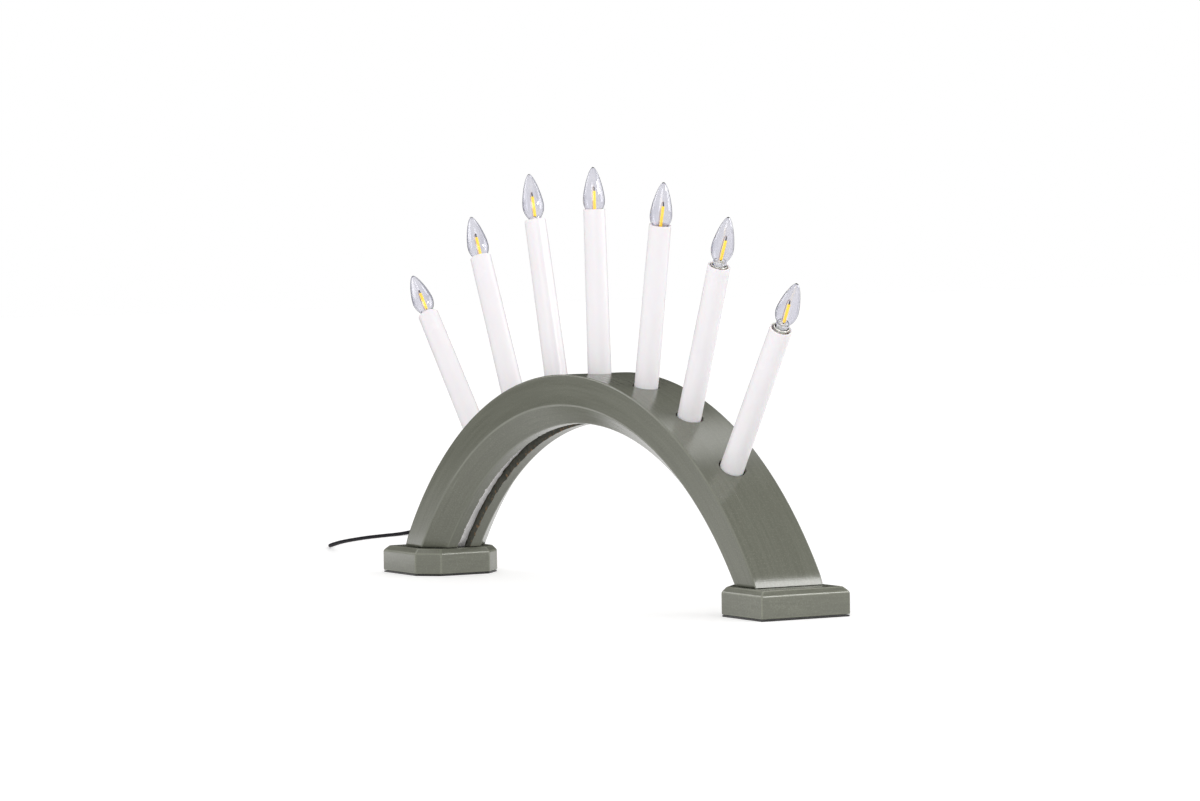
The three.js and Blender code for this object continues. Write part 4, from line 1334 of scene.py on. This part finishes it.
class CANDLEARCH_OT_filaments(Operator):
    """Makes the light strips with their wires"""
    bl_idname = "candle_arch.filaments"
    bl_label = "Filaments"

    def execute(self, context):
        candle = context.scene.candle_arch.candle
        low, high, ease = FILAMENT_LOW, FILAMENT_HIGH, FILAMENT_EASE
        inner = FILAMENT_RADIUS - ease
        strip = turned([
            (0, FILAMENT_FOOT), (WIRE_RADIUS, FILAMENT_FOOT), *in_mm(BELOW_STRIP, low),
            *arc((inner, low + ease), ease, -90, 0, 4), *arc((inner, high - ease), ease, 0, 90, 4),
            *in_mm(ABOVE_STRIP, high)], FILAMENT_SIDES)
        strip.data.transform(Matrix.Translation((FILAMENT_OFFSET, 0, 0)))
        coat(strip, light_strip(candle.light), plated("wire_steel", (0.30, 0.29, 0.29), 0.3, 0.45))
        second_finish(strip, lambda place: not low - ease < place.z < high + LEEWAY)
        side = smooth_wire("support_wire", in_mm(SIDE_WIRE), WIRE_RADIUS, 2, 6)
        select_only(side)
        bpy.ops.object.convert(target="MESH")
        smooth(60)
        coat(side, plated("wire_copper", (0.80, 0.70, 0.69), 0.35, 0.5))
        on_candles(joined(strip, side), "filament", "filament", bulb_body, leaning_filament)
        return {"FINISHED"}


class CANDLEARCH_OT_mounts(Operator):
    """Makes the glass beads that hold the filaments"""
    bl_idname = "candle_arch.mounts"
    bl_label = "Filament mounts"

    def execute(self, context):
        piece = turned(in_mm(MOUNT_PROFILE), MOUNT_SIDES)
        smooth(60)
        coat(piece, milky_glass())
        for number in CANDLES:
            bead = placed_copy(piece, candle_matrix(number) @ at_holder_rim(number))
            dress(bead, f"filament_mount_{number}", bulb_body(number), "bulb_glass")
        bpy.data.objects.remove(piece)
        return {"FINISHED"}


# What is on the lead

def ribbed(skin, starts, groove):
    """Rings [radius, place] of a skin, given as its radius at a place, with a groove from each start."""
    return [(skin(start + along) - sunk, start + along) for start in starts for sunk, along in in_mm(groove)]


class CANDLEARCH_OT_relief(Operator):
    """Makes the ribbed strain relief in the left leg"""
    bl_idname = "candle_arch.relief"
    bl_label = "Strain relief"

    def execute(self, context):
        lead = context.scene.candle_arch.lead
        leave = (-half_span(OUTER_RADIUS, EXIT_HEIGHT), 0, EXIT_HEIGHT)
        wide, tip, end = RELIEF_RADIUS, RELIEF_TIP_RADIUS, RELIEF_LENGTH
        slope = (tip - wide) / (end - wide)
        ribs = ribbed(lambda place: wide + slope * (place - wide), RELIEF_RIBS, RELIEF_GROOVE)
        mouth, mouth_floor = CORD_RADIUS + LEEWAY, end - RELIEF_MOUTH
        piece = turned([
            (0, -RELIEF_DEPTH), (wide, -RELIEF_DEPTH), (wide, wide), *ribs, (tip, end - RELIEF_EDGE),
            (tip - RELIEF_EDGE, end), (mouth, end), (mouth, mouth_floor), (0, mouth_floor)], MOULDED_SIDES)
        piece.data.transform(Matrix.Translation(leave) @ Matrix.Rotation(-math.pi / 2, 4, "Y"))
        coat(piece, sheath("relief_rubber", lead.plug, 900, 0.5, 0.65))
        dress(piece, "strain_relief_look", STAND, "plug", "strain_relief")
        return {"FINISHED"}


class CANDLEARCH_OT_tie(Operator):
    """Makes the strap round the coil"""
    bl_idname = "candle_arch.tie"
    bl_label = "Coil tie"

    def execute(self, context):
        lead = context.scene.candle_arch.lead
        room = CORD_RADIUS + TIE_ROOM + TIE_THICKNESS
        left = COIL_OUTER_RADIUS - COIL_PITCH * COIL_TURNS / COIL_LAYERS - room
        right = COIL_OUTER_RADIUS + room
        top = COIL_LIFT + COIL_PITCH * (COIL_LAYERS - 1) + CORD_RADIUS + SEAT_GAP + TIE_THICKNESS
        loop = begin(bpy.ops.mesh.primitive_cube_add, size=1, location=((left + right) / 2, 0, top / 2),
                     scale=(right - left, TIE_WIDTH, top))
        pick(loop, "EDGE", lambda e: near(e.verts[0].co.x, e.verts[1].co.x)
             and near(e.verts[0].co.z, e.verts[1].co.z))
        bpy.ops.mesh.bevel(affect="EDGES", offset=2 * TIE_THICKNESS, segments=5)
        pick(loop, "FACE", lambda f: abs(f.normal.y) > 0.9)
        bpy.ops.mesh.delete(type="FACE")
        settle(loop)
        apply_modifier(loop, "SOLIDIFY", thickness=TIE_THICKNESS, offset=-1)
        apply_modifier(loop, "BEVEL", width=TIE_EDGE, segments=2, limit_method="ANGLE")
        lap = begin(bpy.ops.mesh.primitive_cube_add, size=1,
                    location=(right - LAP_INSET, 0, top + TIE_THICKNESS / 2),
                    scale=(LAP_LENGTH, TIE_WIDTH * LAP_WIDTH_SHARE, TIE_THICKNESS))
        settle(lap)
        apply_modifier(lap, "BEVEL", width=LAP_EDGE, segments=3)
        strap = joined(loop, lap)
        smooth(35)
        strap.data.transform(Matrix.Translation(COIL_CENTRE) @ Matrix.Rotation(TIE_ANGLE, 4, "Z"))
        coat(strap, woven_strap(lead.plug))
        dress(strap, "cord_tie_look", STAND, "lead", "cord_tie")
        return {"FINISHED"}


def plug_matrix():
    """The plug's frame: +Z along its pins, +Y across them."""
    turn = Matrix.Rotation(PLUG_HEADING, 4, "Z") @ Matrix.Rotation(math.pi / 2, 4, "Y")
    return Matrix.Translation(PLUG_ENTRY) @ turn


class CANDLEARCH_OT_plug(Operator):
    """Makes the flat two-pin plug with its ribbed sleeve"""
    bl_idname = "candle_arch.plug"
    bl_label = "Plug"

    def execute(self, context):
        lead = context.scene.candle_arch.lead
        ribs = ribbed(lambda place: PLUG_SLEEVE_WIDTH + PLUG_SLEEVE_FLARE * place, PLUG_RIBS, PLUG_GROOVE)
        rings = [(side, side, place) for side, place in ribs] + in_mm(PLUG_RINGS)
        height, width, at = PLUG_SLEEVE_WIDTH, PLUG_SLEEVE_WIDTH, 0
        piece = begin(bpy.ops.mesh.primitive_plane_add, size=width)
        bpy.ops.mesh.bevel(affect="VERTICES", offset=width * PLUG_SLEEVE_ROUND, segments=5)
        pick(piece, "FACE", lambda f: True)
        for next_height, next_width, place in rings:
            grow((0, 0, place - at), (next_height / height, next_width / width, 1), (0, 0, place))
            height, width, at = next_height, next_width, place
        settle(piece, 35)
        piece.data.transform(plug_matrix())
        coat(piece, sheath("plug_plastic", lead.plug, 1200, 0.38, 0.5))
        dress(piece, "plug_body_look", STAND, "plug", "plug_body")
        return {"FINISHED"}


class CANDLEARCH_OT_pins(Operator):
    """Makes the plug's sleeved pins"""
    bl_idname = "candle_arch.pins"
    bl_label = "Plug pins"

    def execute(self, context):
        sleeve, metal = PIN_RADIUS, PIN_RADIUS - PIN_SLEEVE_WALL
        nose = arc((metal - PIN_NOSE, PIN_LENGTH - PIN_NOSE), PIN_NOSE, 0, 90, 6)
        pin = turned([(0, -PIN_ROOT), (sleeve, -PIN_ROOT), (sleeve, PIN_SLEEVE_LENGTH),
                      (metal, PIN_SLEEVE_LENGTH), *nose, (0, PIN_LENGTH)], MOULDED_SIDES)
        coat(pin, plated("pin_nickel", (0.78, 0.78, 0.77), 0.2, 0.35), bpy.data.materials["plug_plastic"])
        second_finish(pin, lambda place: place.z < PIN_SLEEVE_LENGTH + LEEWAY)
        start = PLUG_SLEEVE_LENGTH + PLUG_LENGTH + SEAT_GAP
        for name, across in (("plug_pin_left", PIN_SPACING / 2), ("plug_pin_right", -PIN_SPACING / 2)):
            copy = placed_copy(pin, plug_matrix() @ Matrix.Translation((0, across, start)))
            dress(copy, f"{name}_look", STAND, "steel", name)
        bpy.data.objects.remove(pin)
        return {"FINISHED"}


class CANDLEARCH_OT_inner_parts(Operator):
    """Gives the screws, the wiring and the bulbs' contacts their finishes"""
    bl_idname = "candle_arch.inner_parts"
    bl_label = "Inner parts"

    def execute(self, context):
        lead = context.scene.candle_arch.lead
        contacts = [f"bulb_contact_{number}" for number in CANDLES]
        for nodes, finish in (
                (SCREWS, plated("screw_zinc", (0.74, 0.75, 0.76), 0.3, 0.45)),
                (["wiring_harness"], sheath("wire_sheath", lead.sheath, 900, 0.45, 0.6)),
                (contacts, plated("solder_grey", (0.62, 0.63, 0.64), 0.4, 0.6))):
            for node in nodes:
                frame["nodes"][node].data.materials.clear()
                coat(frame["nodes"][node], finish)
        return {"FINISHED"}


class CANDLEARCH_PT_panel(Panel):
    """Lists the steps that build the candle arch"""
    bl_idname = "CANDLEARCH_PT_panel"
    bl_label = "Candle Arch"
    bl_space_type = "VIEW_3D"
    bl_region_type = "UI"
    bl_category = "Candle Arch"

    def draw(self, context):
        for operator in OPERATORS:
            self.layout.operator(operator.bl_idname)


OPERATORS = [
    CANDLEARCH_OT_stage, CANDLEARCH_OT_cord, CANDLEARCH_OT_arch, CANDLEARCH_OT_cover, CANDLEARCH_OT_feet,
    CANDLEARCH_OT_pads, CANDLEARCH_OT_candles, CANDLEARCH_OT_holders, CANDLEARCH_OT_caps,
    CANDLEARCH_OT_glasses, CANDLEARCH_OT_filaments, CANDLEARCH_OT_mounts, CANDLEARCH_OT_relief,
    CANDLEARCH_OT_tie, CANDLEARCH_OT_plug, CANDLEARCH_OT_pins, CANDLEARCH_OT_inner_parts,
]
SETTINGS = [WoodSettings, CandleSettings, LeadSettings, StudioSettings, CandleArchSettings]


def register():
    for kind in SETTINGS + OPERATORS + [CANDLEARCH_PT_panel]:
        bpy.utils.register_class(kind)
    bpy.types.Scene.candle_arch = PointerProperty(type=CandleArchSettings)


def unregister():
    del bpy.types.Scene.candle_arch
    for kind in reversed(SETTINGS + OPERATORS + [CANDLEARCH_PT_panel]):
        bpy.utils.unregister_class(kind)


def main():
    register()
    bpy.ops.candle_arch.stage()
    bpy.ops.candle_arch.tie()
    bpy.ops.candle_arch.plug()
    bpy.ops.candle_arch.pins()
    bpy.ops.candle_arch.cord()
    bpy.ops.candle_arch.relief()
    bpy.ops.candle_arch.arch()
    bpy.ops.candle_arch.cover()
    bpy.ops.candle_arch.feet()
    bpy.ops.candle_arch.pads()
    bpy.ops.candle_arch.candles()
    bpy.ops.candle_arch.holders()
    bpy.ops.candle_arch.caps()
    bpy.ops.candle_arch.glasses()
    bpy.ops.candle_arch.filaments()
    bpy.ops.candle_arch.mounts()
    bpy.ops.candle_arch.inner_parts()


if __name__ == "__main__":
    main()
